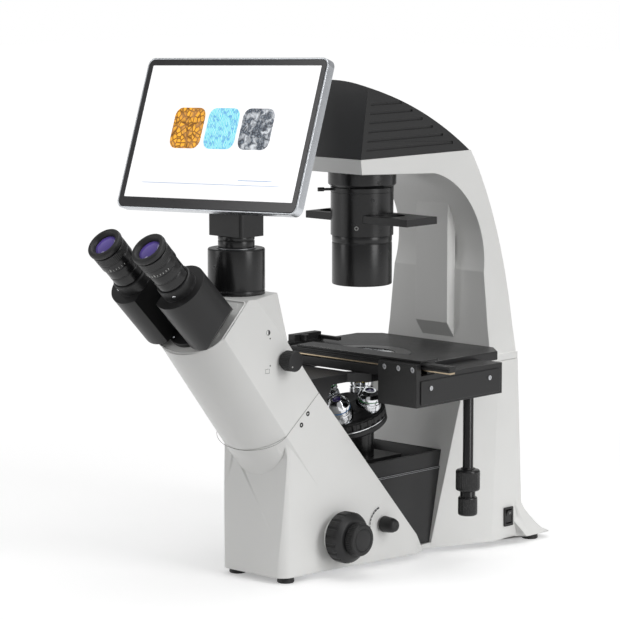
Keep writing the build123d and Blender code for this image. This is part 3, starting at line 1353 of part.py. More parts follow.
PIECES = {
    "base_casting": base_casting,
    "bottom_cover": bottom_cover,
    "feet": feet,
    "head_housing": head_housing,
    "prism_slider": prism_slider,
    "selector_knob": selector_knob,
    "trough": trough,
    "focus_guide": focus_guide,
    "focus_tube": focus_tube,
    "focus_rack": focus_rack,
    "nosepiece_base": nosepiece_base,
    "turret": turret,
    "active_objective": active_objective,
    "side_objectives": side_objectives,
    "relay_mirror": relay_mirror,
    "stage_support": stage_support,
    "stage_plate": stage_plate,
    "stage_insert": stage_insert,
    "y_carriage": y_carriage,
    "carriage_screws": carriage_screws,
    "carriage_cover": carriage_cover,
    "stage_bar": stage_bar,
    "x_slide": x_slide,
    "x_rack": x_rack,
    "specimen_holder": specimen_holder,
    "y_knob": y_knob,
    "x_knob": x_knob,
    "arch_casting": arch_casting,
    "lamp_cover": lamp_cover,
    "lamp_lens": lamp_lens,
    "condenser_mount": condenser_mount,
    "condenser_body": condenser_body,
    "condenser_tube": condenser_tube,
    "condenser_lens": condenser_lens,
    "aperture_ring": aperture_ring,
    "phase_slider": phase_slider,
    "coarse_sleeve": coarse_sleeve,
    "knob_bosses": knob_bosses,
    "coarse_knobs": coarse_knobs,
    "fine_knobs": fine_knobs,
    "fine_shaft": fine_shaft,
    "light_knob": light_knob,
    "binocular_hub": binocular_hub,
    "head_screws": head_screws,
    "phototube": phototube,
    "camera_adapter": camera_adapter,
    "camera_body": camera_body,
    "tablet_bracket": tablet_bracket,
    "tablet_shell": tablet_shell,
    "tablet_bezel": tablet_bezel,
    "tablet_screen": tablet_screen,
    "switch_frame": switch_frame,
    "switch_rocker": switch_rocker,
    "power_inlet": power_inlet,
}
for name in SIDES:
    PIECES[f"tube_housing_{name}"] = housings[name]
    PIECES[f"eyepiece_{name}"] = eyepieces[name]
    PIECES[f"dioptre_ring_{name}"] = dioptre_rings[name]

# The origin goes to the table under the middle of the whole instrument
low = Vector(1000, 1000, 1000)
high = Vector(-1000, -1000, -1000)
for piece in PIECES.values():
    box = piece.part.bounding_box()
    low = Vector(min(low.X, box.min.X), min(low.Y, box.min.Y), min(low.Z, box.min.Z))
    high = Vector(max(high.X, box.max.X), max(high.Y, box.max.Y), max(high.Z, box.max.Z))
HOME = Location((-(low.X + high.X) / 2, -(low.Y + high.Y) / 2, -low.Z))

for label, piece in PIECES.items():
    piece.part.label = label
    export_step(piece.part.moved(HOME), f"parts/{label}.step")
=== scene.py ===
"""Looks of an inverted microscope with a mechanical stage and a tablet camera.

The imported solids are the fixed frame. Lengths in this file are millimetres round the optical axis
unless a name or docstring says otherwise, and every mesh is written in metres in the frame.
"""

import json
import logging
import math
from dataclasses import dataclass, field
from enum import Enum
from typing import Iterable, Sequence

import bmesh
import bpy
from mathutils import Matrix, Vector

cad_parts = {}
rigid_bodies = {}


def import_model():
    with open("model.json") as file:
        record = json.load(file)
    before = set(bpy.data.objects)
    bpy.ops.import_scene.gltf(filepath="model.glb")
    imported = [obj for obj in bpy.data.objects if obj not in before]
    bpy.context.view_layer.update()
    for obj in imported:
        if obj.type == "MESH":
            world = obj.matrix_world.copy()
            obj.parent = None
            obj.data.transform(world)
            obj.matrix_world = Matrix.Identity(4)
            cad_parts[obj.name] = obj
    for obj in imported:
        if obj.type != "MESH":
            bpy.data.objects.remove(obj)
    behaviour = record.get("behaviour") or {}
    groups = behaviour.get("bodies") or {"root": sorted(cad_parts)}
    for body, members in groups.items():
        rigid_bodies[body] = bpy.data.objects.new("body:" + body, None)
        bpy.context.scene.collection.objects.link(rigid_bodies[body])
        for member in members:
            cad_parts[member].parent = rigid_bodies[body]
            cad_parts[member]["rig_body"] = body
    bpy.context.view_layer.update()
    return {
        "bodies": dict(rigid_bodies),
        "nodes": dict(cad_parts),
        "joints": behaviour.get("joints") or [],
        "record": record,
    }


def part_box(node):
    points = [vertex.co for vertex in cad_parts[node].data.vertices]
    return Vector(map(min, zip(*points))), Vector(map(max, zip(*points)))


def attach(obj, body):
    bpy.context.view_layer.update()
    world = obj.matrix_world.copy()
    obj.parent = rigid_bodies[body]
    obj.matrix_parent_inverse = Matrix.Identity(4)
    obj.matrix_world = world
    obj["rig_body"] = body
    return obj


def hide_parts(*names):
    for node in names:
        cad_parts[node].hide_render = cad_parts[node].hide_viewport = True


LOG = logging.getLogger("microscope")
MM = 0.001
HALF = math.sqrt(0.5)
Point2 = tuple[float, float]
Colour = tuple[float, float, float]


@dataclass(frozen=True)
class Spot:
    """A local frame: an origin in millimetres round the optical axis and three directions."""

    origin: Vector
    x: Vector
    y: Vector
    z: Vector

    def point(self, x: float, y: float, z: float = 0.0) -> Vector:
        """Point of the instrument at a local place, in millimetres."""
        return self.origin + self.x * x + self.y * y + self.z * z

    def moved(self, x: float = 0.0, y: float = 0.0, z: float = 0.0) -> "Spot":
        """The same directions at another local origin."""
        return Spot(self.point(x, y, z), self.x, self.y, self.z)


def spot(origin: Sequence[float], z: Sequence[float] = (0, 0, 1), x: Sequence[float] = (1, 0, 0)) -> Spot:
    """Local frame from an origin, a normal and a rough x direction.

    Args:
        origin: Place in millimetres round the optical axis.
        z: Direction of the local normal.
        x: Direction that local x follows.
    Returns:
        The orthonormal frame.
    """
    up = Vector(z).normalized()
    across = (Vector(x) - up * Vector(x).dot(up)).normalized()
    return Spot(Vector(origin), across, up.cross(across), up)


UPRIGHT = spot((0, 0, 0))
RIGHT_SIDE = spot((0, 0, 0), (1, 0, 0), (0, 1, 0))
HINGE = spot((0, -249.8, 295.2), (0, -HALF, HALF))
LEAN = math.radians(51)
COLUMN = spot((0, 0, 0), (0, -math.cos(LEAN), math.sin(LEAN)))


@dataclass
class Bench:
    """The loaded frame, and where its optical axis stands."""

    frame: dict
    axis: Vector = field(default_factory=Vector)

    def __post_init__(self) -> None:
        """Find the optical axis from the condenser tube."""
        low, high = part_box("condenser_tube")
        self.axis = Vector(((low.x + high.x) / 2, (low.y + high.y) / 2, 0.0))

    def metres(self, place: Vector) -> Vector:
        """Frame position, in metres, of a place round the optical axis."""
        return place * MM + self.axis

    def node(self, name: str) -> bpy.types.Object:
        """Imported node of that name."""
        return self.frame["nodes"][name]

    def body_of(self, name: str) -> str:
        """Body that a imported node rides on."""
        return self.node(name)["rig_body"]


@dataclass(frozen=True)
class Flutes:
    """Grip ribs round a turned piece, between two heights."""

    count: int
    depth: float
    low: float
    high: float
    open_share: float = 0.4

    def cut(self, angle: float, height: float) -> float:
        """Depth of the groove at an angle in radians and a height."""
        if not self.low <= height <= self.high:
            return 0.0
        place = (angle * self.count / (2 * math.pi)) % 1.0
        edge = 0.09  # share of a pitch that each flank takes
        inside = min(place - (0.5 - self.open_share / 2), (0.5 + self.open_share / 2) - place)
        return self.depth * max(0.0, min(1.0, inside / edge + 0.5))


def eased(profile: Sequence[Point2], radius: float, closed: bool = False) -> list[Point2]:
    """Round the corners of a turned outline.

    Args:
        profile: Points of radius and height.
        radius: Largest rounding, in millimetres.
        closed: Whether the last point joins the first.
    Returns:
        The outline with each corner replaced by three points.
    """
    points = [Vector(p) for p in profile]
    made: list[Point2] = []
    for i, here in enumerate(points):
        if not closed and i in (0, len(points) - 1):
            made.append(tuple(here))
            continue
        before, after = points[i - 1], points[(i + 1) % len(points)]
        a, b = before - here, after - here
        reach = min(radius, a.length * 0.45, b.length * 0.45)
        if reach < 0.02:
            made.append(tuple(here))
            continue
        start, end = here + a.normalized() * reach, here + b.normalized() * reach
        middle = (start + end) / 4 + here / 2
        made.extend([tuple(start), tuple(middle), tuple(end)])
    return made


def mesh_object(name: str, bm: bmesh.types.BMesh, smooth: float = 32.0) -> bpy.types.Object:
    """Turn a finished bmesh into a linked object, smooth up to an angle in degrees."""
    bmesh.ops.recalc_face_normals(bm, faces=bm.faces)
    mesh = bpy.data.meshes.new(name)
    bm.to_mesh(mesh)
    bm.free()
    mesh.shade_smooth()
    mesh.set_sharp_from_angle(angle=math.radians(smooth))
    made = bpy.data.objects.new(name, mesh)
    bpy.context.scene.collection.objects.link(made)
    return made


def add_turned(
    bm: bmesh.types.BMesh,
    bench: Bench,
    at: Spot,
    profile: Sequence[Point2],
    steps: int = 96,
    soft: float = 0.4,
    closed: bool = False,
    flutes: Sequence[Flutes] = (),
) -> None:
    """Add a turned solid to a bmesh.

    Args:
        bm: Mesh that grows.
        bench: The loaded frame.
        at: Frame whose z is the turning axis.
        profile: Points of radius and height, from the axis or round a closed section.
        steps: Points round the axis.
        soft: Rounding of its corners.
        closed: Whether the section is a closed ring.
        flutes: Grip ribs cut into its outer surface.
    """
    for flute in flutes:
        steps = max(steps, flute.count * 10)
    outline = eased(profile, soft, closed)
    for flute in flutes:
        edges = (flute.low - 0.01, flute.low + 0.35, flute.high - 0.35, flute.high + 0.01)
        dense = [outline[0]]
        for (r, h), (r2, h2) in zip(outline, outline[1:]):
            inside = [edge for edge in edges if min(h, h2) < edge < max(h, h2)]
            dense.extend((r + (r2 - r) * (edge - h) / (h2 - h), edge) for edge in inside)
            dense.append((r2, h2))
        outline = dense
    rings: list[list[bmesh.types.BMVert]] = []
    for r, h in outline:
        if r < 1e-4:
            rings.append([bm.verts.new(bench.metres(at.point(0, 0, h)))])
            continue
        ring = []
        for k in range(steps):
            a = 2 * math.pi * k / steps
            cut = sum(f.cut(a, h) for f in flutes if r > 0.5 * max(p[0] for p in outline))
            ring.append(bm.verts.new(bench.metres(at.point((r - cut) * math.cos(a), (r - cut) * math.sin(a), h))))
        rings.append(ring)
    pairs = list(zip(rings, rings[1:]))
    if closed:
        pairs.append((rings[-1], rings[0]))
    for low, high in pairs:
        for k in range(steps):
            n = (k + 1) % steps
            if len(low) == 1 and len(high) == 1:
                break
            if len(low) == 1:
                bm.faces.new((low[0], high[k], high[n]))
            elif len(high) == 1:
                bm.faces.new((low[k], low[n], high[0]))
            else:
                bm.faces.new((low[k], low[n], high[n], high[k]))


def turned(name: str, bench: Bench, at: Spot, profile: Sequence[Point2], **options) -> bpy.types.Object:
    """Turned piece as one object; options as for add_turned."""
    bm = bmesh.new()
    add_turned(bm, bench, at, profile, **options)
    return mesh_object(name, bm)


def add_plate(
    bm: bmesh.types.BMesh, bench: Bench, at: Spot, outline: Sequence[Point2], low: float, high: float
) -> None:
    """Add a flat-sided plate between two local heights to a bmesh."""
    below = [bm.verts.new(bench.metres(at.point(x, y, low))) for x, y in outline]
    top = [bm.verts.new(bench.metres(at.point(x, y, high))) for x, y in outline]
    bm.faces.new(top)
    bm.faces.new(list(reversed(below)))
    for k in range(len(outline)):
        n = (k + 1) % len(outline)
        bm.faces.new((below[k], below[n], top[n], top[k]))


def ring_points(radius: float, count: int, x: float = 0.0, y: float = 0.0) -> list[Point2]:
    """Points of a circle round a local place."""
    return [
        (x + radius * math.cos(2 * math.pi * k / count), y + radius * math.sin(2 * math.pi * k / count))
        for k in range(count)
    ]


def rounded(
    width: float, height: float, radius: float, x: float = 0.0, y: float = 0.0, steps: int = 6
) -> list[Point2]:
    """Outline of a rounded rectangle round a local place."""
    points: list[Point2] = []
    for cx, cy, start in ((1, 1, 0), (-1, 1, 90), (-1, -1, 180), (1, -1, 270)):
        for k in range(steps + 1):
            a = math.radians(start + 90 * k / steps)
            points.append(
                (
                    x + cx * (width / 2 - radius) + radius * math.cos(a),
                    y + cy * (height / 2 - radius) + radius * math.sin(a),
                )
            )
    return points


def bead(name: str, bench: Bench, path: Sequence[Vector], width: float, closed: bool = False) -> bpy.types.Object:
    """Thin round bead along points of the instrument, as a bevelled curve."""
    curve = bpy.data.curves.new(name, "CURVE")
    curve.dimensions = "3D"
    curve.bevel_depth = width / 2 * MM
    curve.bevel_resolution = 3
    line = curve.splines.new("POLY")
    line.points.add(len(path) - 1)
    for slot, place in zip(line.points, path):
        slot.co = (*bench.metres(place), 1.0)
    line.use_cyclic_u = closed
    made = bpy.data.objects.new(name, curve)
    bpy.context.scene.collection.objects.link(made)
    return made


def softened(bench: Bench, node: str, width: float, segments: int = 3, angle: float = 30.0) -> bpy.types.Object:
    """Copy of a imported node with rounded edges.

    Args:
        bench: The loaded frame.
        node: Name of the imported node.
        width: Width of the rounding in millimetres.
        segments: Strips across each rounding.
        angle: Smallest angle, in degrees, of an edge that is rounded.
    Returns:
        The new object, which stands for the node.
    """
    bm = bmesh.new()
    bm.from_mesh(bench.node(node).data)
    bmesh.ops.remove_doubles(bm, verts=bm.verts, dist=2e-6)
    bmesh.ops.dissolve_limit(bm, angle_limit=math.radians(0.6), verts=bm.verts, edges=bm.edges)
    made = mesh_object(f"{node}_dressed", bm)
    rounding = made.modifiers.new("edges", "BEVEL")
    rounding.width = width * MM
    rounding.segments = segments
    rounding.limit_method = "ANGLE"
    rounding.angle_limit = math.radians(angle)
    rounding.use_clamp_overlap = True
    rounding.harden_normals = False
    rounding.miter_outer = "MITER_ARC"
    weighted = made.modifiers.new("normals", "WEIGHTED_NORMAL")
    weighted.keep_sharp = False
    weighted.weight = 60
    return made


class Slot(Enum):
    """Material slots of the record."""

    WHITE_PAINT = "white_paint"
    BLACK_PLASTIC = "black_plastic"
    RUBBER = "rubber"
    CHROME = "chrome"
    STEEL = "steel"
    BLACK_PAINT = "black_paint"
    BLACK_ANODISED = "black_anodised"
    BRASS = "brass"
    GLASS = "glass"
    MIRROR = "mirror"
    ALUMINIUM = "aluminium"
    BEZEL = "bezel"
    SCREEN = "screen"


class Net:
    """Short hand for building one node tree."""

    def __init__(self, tree: bpy.types.NodeTree) -> None:
        """Keep the tree."""
        self.tree = tree

    def add(self, kind: str, **values) -> bpy.types.Node:
        """Add a node; values set its properties, or its inputs when the name is one."""
        node = self.tree.nodes.new(kind)
        for key, value in values.items():
            if key.startswith("in_"):
                name = key[3:].replace("_", " ")
                (node.inputs[int(name)] if name.isdigit() else node.inputs[name]).default_value = value
            else:
                setattr(node, key, value)
        return node

    def link(self, source: bpy.types.NodeSocket, target: bpy.types.NodeSocket) -> None:
        """Join two sockets."""
        self.tree.links.new(source, target)

    def maths(self, operation: str, first, second) -> bpy.types.NodeSocket:
        """Math node of two sockets or numbers."""
        node = self.add("ShaderNodeMath", operation=operation)
        for slot, value in zip(node.inputs, (first, second)):
            if isinstance(value, (int, float)):
                slot.default_value = value
            else:
                self.link(value, slot)
        return node.outputs[0]

    def mix(self, share, first, second) -> bpy.types.NodeSocket:
        """Colour mix of two sockets or colours."""
        node = self.add("ShaderNodeMix", data_type="RGBA")
        for slot, value in ((node.inputs[0], share), (node.inputs[6], first), (node.inputs[7], second)):
            if isinstance(value, (int, float)):
                slot.default_value = value
            elif isinstance(value, tuple):
                slot.default_value = (*value, 1.0)
            else:
                self.link(value, slot)
        return node.outputs[2]

    def spread(self, source, low: float, high: float, start: float = 0.0, end: float = 1.0) -> bpy.types.NodeSocket:
        """Map a socket from one range to another."""
        node = self.add("ShaderNodeMapRange")
        for slot, value in zip(node.inputs[1:5], (start, end, low, high)):
            slot.default_value = value
        self.link(source, node.inputs[0])
        return node.outputs[0]


def texture_group() -> bpy.types.NodeTree:
    """Shared group with a fine grain, slow mottling and fine scratches, in object space."""
    name = "surface texture"
    if name in bpy.data.node_groups:
        return bpy.data.node_groups[name]
    tree = bpy.data.node_groups.new(name, "ShaderNodeTree")
    for title, start in (("Grain Size", 1600.0), ("Mottle Size", 14.0), ("Stretch", 1.0)):
        socket = tree.interface.new_socket(name=title, in_out="INPUT", socket_type="NodeSocketFloat")
        socket.default_value = start
    for title in ("Grain", "Mottle", "Scratch"):
        tree.interface.new_socket(name=title, in_out="OUTPUT", socket_type="NodeSocketFloat")
    net = Net(tree)
    start = net.add("NodeGroupInput")
    end = net.add("NodeGroupOutput")
    place = net.add("ShaderNodeTexCoord")
    squeeze = net.add("ShaderNodeCombineXYZ", in_0=1.0, in_1=1.0)
    net.link(start.outputs["Stretch"], squeeze.inputs[2])
    scaled = net.add("ShaderNodeVectorMath", operation="MULTIPLY")
    net.link(place.outputs["Object"], scaled.inputs[0])
    net.link(squeeze.outputs[0], scaled.inputs[1])
    grain = net.add("ShaderNodeTexNoise", in_Detail=2.0, in_Roughness=0.6)
    net.link(scaled.outputs[0], grain.inputs["Vector"])
    net.link(start.outputs["Grain Size"], grain.inputs["Scale"])
    mottle = net.add("ShaderNodeTexNoise", in_Detail=4.0, in_Roughness=0.55)
    net.link(place.outputs["Object"], mottle.inputs["Vector"])
    net.link(start.outputs["Mottle Size"], mottle.inputs["Scale"])
    lines = net.add("ShaderNodeTexNoise", in_Scale=90.0, in_Detail=5.0, in_Distortion=1.6)
    net.link(scaled.outputs[0], lines.inputs["Vector"])
    thin = net.spread(lines.outputs["Fac"], 0.0, 1.0, 0.62, 0.78)
    net.link(grain.outputs["Fac"], end.inputs["Grain"])
    net.link(mottle.outputs["Fac"], end.inputs["Mottle"])
    net.link(thin, end.inputs["Scratch"])
    return tree


def edge_group() -> bpy.types.NodeTree:
    """Shared group with a mask of worn edges, a mask of settled dust and an edge-rounded normal."""
    name = "edges and dust"
    if name in bpy.data.node_groups:
        return bpy.data.node_groups[name]
    tree = bpy.data.node_groups.new(name, "ShaderNodeTree")
    socket = tree.interface.new_socket(name="Radius", in_out="INPUT", socket_type="NodeSocketFloat")
    socket.default_value = 0.0008
    for title in ("Wear", "Dust"):
        tree.interface.new_socket(name=title, in_out="OUTPUT", socket_type="NodeSocketFloat")
    tree.interface.new_socket(name="Normal", in_out="OUTPUT", socket_type="NodeSocketVector")
    net = Net(tree)
    start = net.add("NodeGroupInput")
    end = net.add("NodeGroupOutput")
    soft = net.add("ShaderNodeBevel", samples=4)
    net.link(start.outputs["Radius"], soft.inputs["Radius"])
    place = net.add("ShaderNodeNewGeometry")
    facing = net.add("ShaderNodeVectorMath", operation="DOT_PRODUCT")
    net.link(soft.outputs[0], facing.inputs[0])
    net.link(place.outputs["Normal"], facing.inputs[1])
    worn = net.spread(facing.outputs["Value"], 1.0, 0.0, 0.80, 0.985)
    noise = net.add("ShaderNodeTexNoise", in_Scale=260.0, in_Detail=3.0)
    coordinate = net.add("ShaderNodeTexCoord")
    net.link(coordinate.outputs["Object"], noise.inputs["Vector"])
    broken = net.spread(noise.outputs["Fac"], 0.15, 1.0, 0.38, 0.62)
    net.link(net.maths("MULTIPLY", worn, broken), end.inputs["Wear"])
    split = net.add("ShaderNodeSeparateXYZ")
    net.link(place.outputs["Normal"], split.inputs[0])
    upward = net.spread(split.outputs[2], 0.0, 1.0, 0.55, 1.0)
    net.link(net.maths("MULTIPLY", upward, broken), end.inputs["Dust"])
    net.link(soft.outputs[0], end.inputs["Normal"])
    return tree


@dataclass(frozen=True)
class Finish:
    """A painted, moulded or metal finish with grain, mottling, edge wear and dust."""

    name: str
    slot: Slot
    colour: Colour
    roughness: float
    metallic: float = 0.0
    shade: float = 0.86
    worn: Colour = (0.5, 0.5, 0.5)
    wear: float = 0.25
    dust: float = 0.05
    grain: float = 1600.0
    mottle: float = 14.0
    stretch: float = 1.0
    bump: float = 0.05
    spread: float = 0.08
    coat: float = 0.0
    edge: float = 0.0007
    shine: float = 0.5

    def material(self) -> bpy.types.Material:
        """Material of this finish, built once."""
        if self.name in bpy.data.materials:
            return bpy.data.materials[self.name]
        made = bpy.data.materials.new(self.name)
        made.use_nodes = True
        net = Net(made.node_tree)
        shader = made.node_tree.nodes["Principled BSDF"]
        texture = net.add("ShaderNodeGroup", node_tree=texture_group())
        texture.inputs["Grain Size"].default_value = self.grain
        texture.inputs["Mottle Size"].default_value = self.mottle
        texture.inputs["Stretch"].default_value = self.stretch
        edges = net.add("ShaderNodeGroup", node_tree=edge_group())
        edges.inputs["Radius"].default_value = self.edge
        darker = tuple(c * self.shade for c in self.colour)
        patchy = net.spread(texture.outputs["Mottle"], 0.0, 1.0, 0.35, 0.68)
        colour = net.mix(patchy, darker, self.colour)
        colour = net.mix(net.maths("MULTIPLY", edges.outputs["Wear"], self.wear), colour, self.worn)
        dusty = tuple(0.55 * c + 0.22 for c in self.colour)
        colour = net.mix(net.maths("MULTIPLY", edges.outputs["Dust"], self.dust), colour, dusty)
        net.link(colour, shader.inputs["Base Color"])
        shader.inputs["Metallic"].default_value = self.metallic
        shader.inputs["Coat Weight"].default_value = self.coat
        shader.inputs["Coat Roughness"].default_value = 0.15
        shader.inputs["Specular IOR Level"].default_value = self.shine
        uneven = net.maths("ADD", texture.outputs["Mottle"], net.maths("MULTIPLY", texture.outputs["Scratch"], 0.5))
        rough = net.spread(uneven, self.roughness - self.spread, self.roughness + self.spread, 0.3, 1.0)
        net.link(rough, shader.inputs["Roughness"])
        bump = net.add("ShaderNodeBump", in_Strength=self.bump, in_Distance=0.0004)
        net.link(texture.outputs["Grain"], bump.inputs["Height"])
        net.link(edges.outputs["Normal"], bump.inputs["Normal"])
        net.link(bump.outputs[0], shader.inputs["Normal"])
        return made


@dataclass(frozen=True)
class CoatedGlass:
    """Lens or cover glass; a dark one is coated and shows only its reflections. Its colour turns towards a lighter tint
    at grazing angles, which is painted sheen.
    """

    name: str
    slot: Slot
    colour: Colour
    clear: float = 1.0
    # lighter colour that the glass takes at grazing angles: painted sheen of the coating
    sheen_tint: Colour = (0.5, 0.4, 1.0)

    def material(self) -> bpy.types.Material:
        """Material of this glass, built once."""
        if self.name in bpy.data.materials:
            return bpy.data.materials[self.name]
        made = bpy.data.materials.new(self.name)
        made.use_nodes = True
        net = Net(made.node_tree)
        shader = made.node_tree.nodes["Principled BSDF"]
        shader.inputs["Transmission Weight"].default_value = self.clear
        shader.inputs["IOR"].default_value = 1.52
        shader.inputs["Coat Weight"].default_value = 0.6
        shader.inputs["Coat Roughness"].default_value = 0.02
        # painted sheen: the base colour turns to the lighter tint towards grazing angles
        glance = net.add("ShaderNodeLayerWeight", in_Blend=0.35)
        texture = net.add("ShaderNodeGroup", node_tree=texture_group())
        painted_sheen = net.mix(glance.outputs["Facing"], self.colour, self.sheen_tint)
        smear = net.spread(texture.outputs["Mottle"], 0.0, 0.25, 0.4, 0.8)
        net.link(net.mix(smear, painted_sheen, self.colour), shader.inputs["Base Color"])
        net.link(net.spread(texture.outputs["Mottle"], 0.02, 0.10), shader.inputs["Roughness"])
        bump = net.add("ShaderNodeBump", in_Strength=0.01, in_Distance=0.0002)
        net.link(texture.outputs["Grain"], bump.inputs["Height"])
        net.link(bump.outputs[0], shader.inputs["Normal"])
        return made


@dataclass(frozen=True)
class Picture:
    """Lit picture on the screen: cells, fibres or grains in three colours."""

    name: str
    slot: Slot
    dark: Colour
    middle: Colour
    light: Colour
    scale: float
    cells: bool = True
    strength: float = 0.9

    def material(self) -> bpy.types.Material:
        """Material of this picture, built once."""
        if self.name in bpy.data.materials:
            return bpy.data.materials[self.name]
        made = bpy.data.materials.new(self.name)
        made.use_nodes = True
        net = Net(made.node_tree)
        shader = made.node_tree.nodes["Principled BSDF"]
        place = net.add("ShaderNodeTexCoord")
        cloud = net.add("ShaderNodeTexNoise", in_Scale=self.scale * 0.5, in_Detail=5.0, in_Distortion=0.8)
        net.link(place.outputs["Object"], cloud.inputs["Vector"])
        if self.cells:
            pattern = net.add("ShaderNodeTexVoronoi", feature="DISTANCE_TO_EDGE", in_Scale=self.scale)
            net.link(place.outputs["Object"], pattern.inputs["Vector"])
            value = net.spread(pattern.outputs["Distance"], 0.0, 1.0, 0.0, 0.22)
        else:
            pattern = net.add("ShaderNodeTexWave", in_Scale=self.scale * 0.35, in_Distortion=9.0, in_Detail=4.0)
            net.link(place.outputs["Object"], pattern.inputs["Vector"])
            value = pattern.outputs["Fac"]
        colour = net.mix(value, self.dark, self.middle)
        colour = net.mix(net.spread(cloud.outputs["Fac"], 0.0, 1.0, 0.45, 0.7), colour, self.light)
        net.link(colour, shader.inputs["Base Color"])
        net.link(colour, shader.inputs["Emission Color"])
        shader.inputs["Emission Strength"].default_value = self.strength
        net.link(net.spread(cloud.outputs["Fac"], 0.08, 0.16), shader.inputs["Roughness"])
        bump = net.add("ShaderNodeBump", in_Strength=0.01, in_Distance=0.0001)
        net.link(cloud.outputs["Fac"], bump.inputs["Height"])
        net.link(bump.outputs[0], shader.inputs["Normal"])
        return made


WHITE = Finish(
    "white paint", Slot.WHITE_PAINT, (0.80, 0.80, 0.785), 0.36, shade=0.97, worn=(0.86, 0.86, 0.85), wear=0.3,
    dust=0.03, grain=900.0, mottle=9.0, bump=0.035, spread=0.05, edge=0.0012, coat=0.08,
)
MOULDED = Finish(
    "black moulding", Slot.BLACK_PLASTIC, (0.013, 0.013, 0.0135), 0.42, worn=(0.10, 0.10, 0.10), bump=0.12, shine=0.4
)
RIBBED = Finish(
    "black cover", Slot.BLACK_PLASTIC, (0.015, 0.015, 0.0155), 0.38, worn=(0.08, 0.08, 0.08), bump=0.10, grain=2200.0,
    shine=0.42,
)
SATIN = Finish(
    "black anodised", Slot.BLACK_ANODISED, (0.008, 0.008, 0.0085), 0.27, worn=(0.20, 0.20, 0.20), wear=0.3,
    bump=0.04, grain=2400.0, spread=0.05, shine=0.45,
)
WRINKLE = Finish(
    "black stage paint", Slot.BLACK_PAINT, (0.015, 0.015, 0.0155), 0.42, worn=(0.16, 0.16, 0.16), bump=0.22,
    grain=1300.0, spread=0.07, shine=0.4,
)
GRIP = Finish(
    "grip rubber", Slot.RUBBER, (0.012, 0.012, 0.0125), 0.50, worn=(0.08, 0.08, 0.08), bump=0.16, dust=0.06, shine=0.42
)
CHROME = Finish(
    "chrome", Slot.CHROME, (0.80, 0.80, 0.80), 0.13, 1.0, worn=(0.9, 0.9, 0.9), wear=0.2, bump=0.02,
    stretch=14.0, spread=0.05, shade=0.9,
)
STEEL = Finish("steel", Slot.STEEL, (0.62, 0.62, 0.61), 0.26, 1.0, worn=(0.8, 0.8, 0.8), bump=0.04, stretch=8.0)
RACK = Finish("rack metal", Slot.BRASS, (0.58, 0.47, 0.33), 0.34, 1.0, worn=(0.8, 0.72, 0.5), bump=0.06)
ALLOY = Finish(
    "silver frame", Slot.ALUMINIUM, (0.60, 0.62, 0.65), 0.30, 1.0, worn=(0.85, 0.87, 0.9), bump=0.03, shade=0.93
)
BEZEL = Finish("screen border", Slot.BEZEL, (0.03, 0.029, 0.032), 0.18, worn=(0.1, 0.1, 0.1), bump=0.02, spread=0.04)
PRINT_WHITE = Finish("white marking", Slot.BLACK_PLASTIC, (0.72, 0.72, 0.70), 0.5, wear=0.0, bump=0.02)
PRINT_DARK = Finish("dark marking", Slot.WHITE_PAINT, (0.035, 0.035, 0.04), 0.45, wear=0.0, bump=0.02)
SEAM = Finish("seam shadow", Slot.WHITE_PAINT, (0.30, 0.30, 0.29), 0.7, wear=0.0, bump=0.02)
RING_YELLOW = Finish("yellow ring", Slot.CHROME, (0.75, 0.55, 0.05), 0.35, wear=0.1, bump=0.02)
RING_GREEN = Finish("green ring", Slot.CHROME, (0.05, 0.35, 0.10), 0.35, wear=0.1, bump=0.02)
RING_BLUE = Finish("blue ring", Slot.CHROME, (0.05, 0.25, 0.60), 0.35, wear=0.1, bump=0.02)
# eye lens: dark violet, turning lighter violet at grazing angles as painted sheen
LENS = CoatedGlass("eye lens", Slot.GLASS, (0.05, 0.03, 0.20), 0.0, (0.25, 0.16, 0.75))
CLEAR = CoatedGlass("clear glass", Slot.GLASS, (0.95, 0.97, 0.97), 1.0, (0.9, 0.95, 1.0))
MIRROR = Finish("front mirror", Slot.MIRROR, (0.86, 0.87, 0.88), 0.04, 1.0, wear=0.05, bump=0.0, spread=0.02)
DISPLAY = Picture("screen face", Slot.SCREEN, (0.97, 0.97, 0.98), (0.99, 0.99, 1.0), (1.0, 1.0, 1.0), 8.0, False, 0.55)


@dataclass
class Assembly:
    """A sub-assembly: it makes pieces, finishes them and hangs them on their bodies."""

    bench: Bench
    made: list[str] = field(default_factory=list)

    def keep(
        self, piece: bpy.types.Object, finish, body: str, replaces: Iterable[str] = ()
    ) -> bpy.types.Object:
        """Finish a new piece and hang it on a body.

        Args:
            piece: The new object.
            finish: Its finish.
            body: Body that it rides on.
            replaces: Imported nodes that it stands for.
        Returns:
            The piece.
        """
        piece.data.materials.clear()
        piece.data.materials.append(finish.material())
        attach(piece, body)
        names = tuple(replaces)
        if names:
            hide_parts(*names)
        self.made.append(piece.name)
        return piece

    def soften(self, node: str, finish, width: float = 0.6, segments: int = 2, angle: float = 30.0) -> None:
        """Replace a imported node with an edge-rounded copy of it."""
        piece = softened(self.bench, node, width, segments, angle)
        self.keep(piece, finish, self.bench.body_of(node), (node,))

    def finish_node(self, node: str, finish) -> None:
        """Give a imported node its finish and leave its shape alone."""
        data = self.bench.node(node).data
        data.materials.clear()
        data.materials.append(finish.material())
        self.made.append(node)

    def turned(
        self, name: str, at: Spot, profile: Sequence[Point2], finish, body: str, replaces: Iterable[str] = (),
        **options,
    ) -> None:
        """Make, finish and hang one turned piece; options as for add_turned."""
        self.keep(turned(name, self.bench, at, profile, **options), finish, body, replaces)

    def plates(
        self, name: str, at: Spot, outlines: Iterable[Sequence[Point2]], low: float, high: float, finish, body: str
    ) -> None:
        """Make, finish and hang a group of thin flat pieces on one local plane."""
        bm = bmesh.new()
        for outline in outlines:
            add_plate(bm, self.bench, at, outline, low, high)
        self.keep(mesh_object(name, bm), finish, body)

    def build(self) -> None:
        """Make every piece; each sub-assembly has its own."""
        raise NotImplementedError


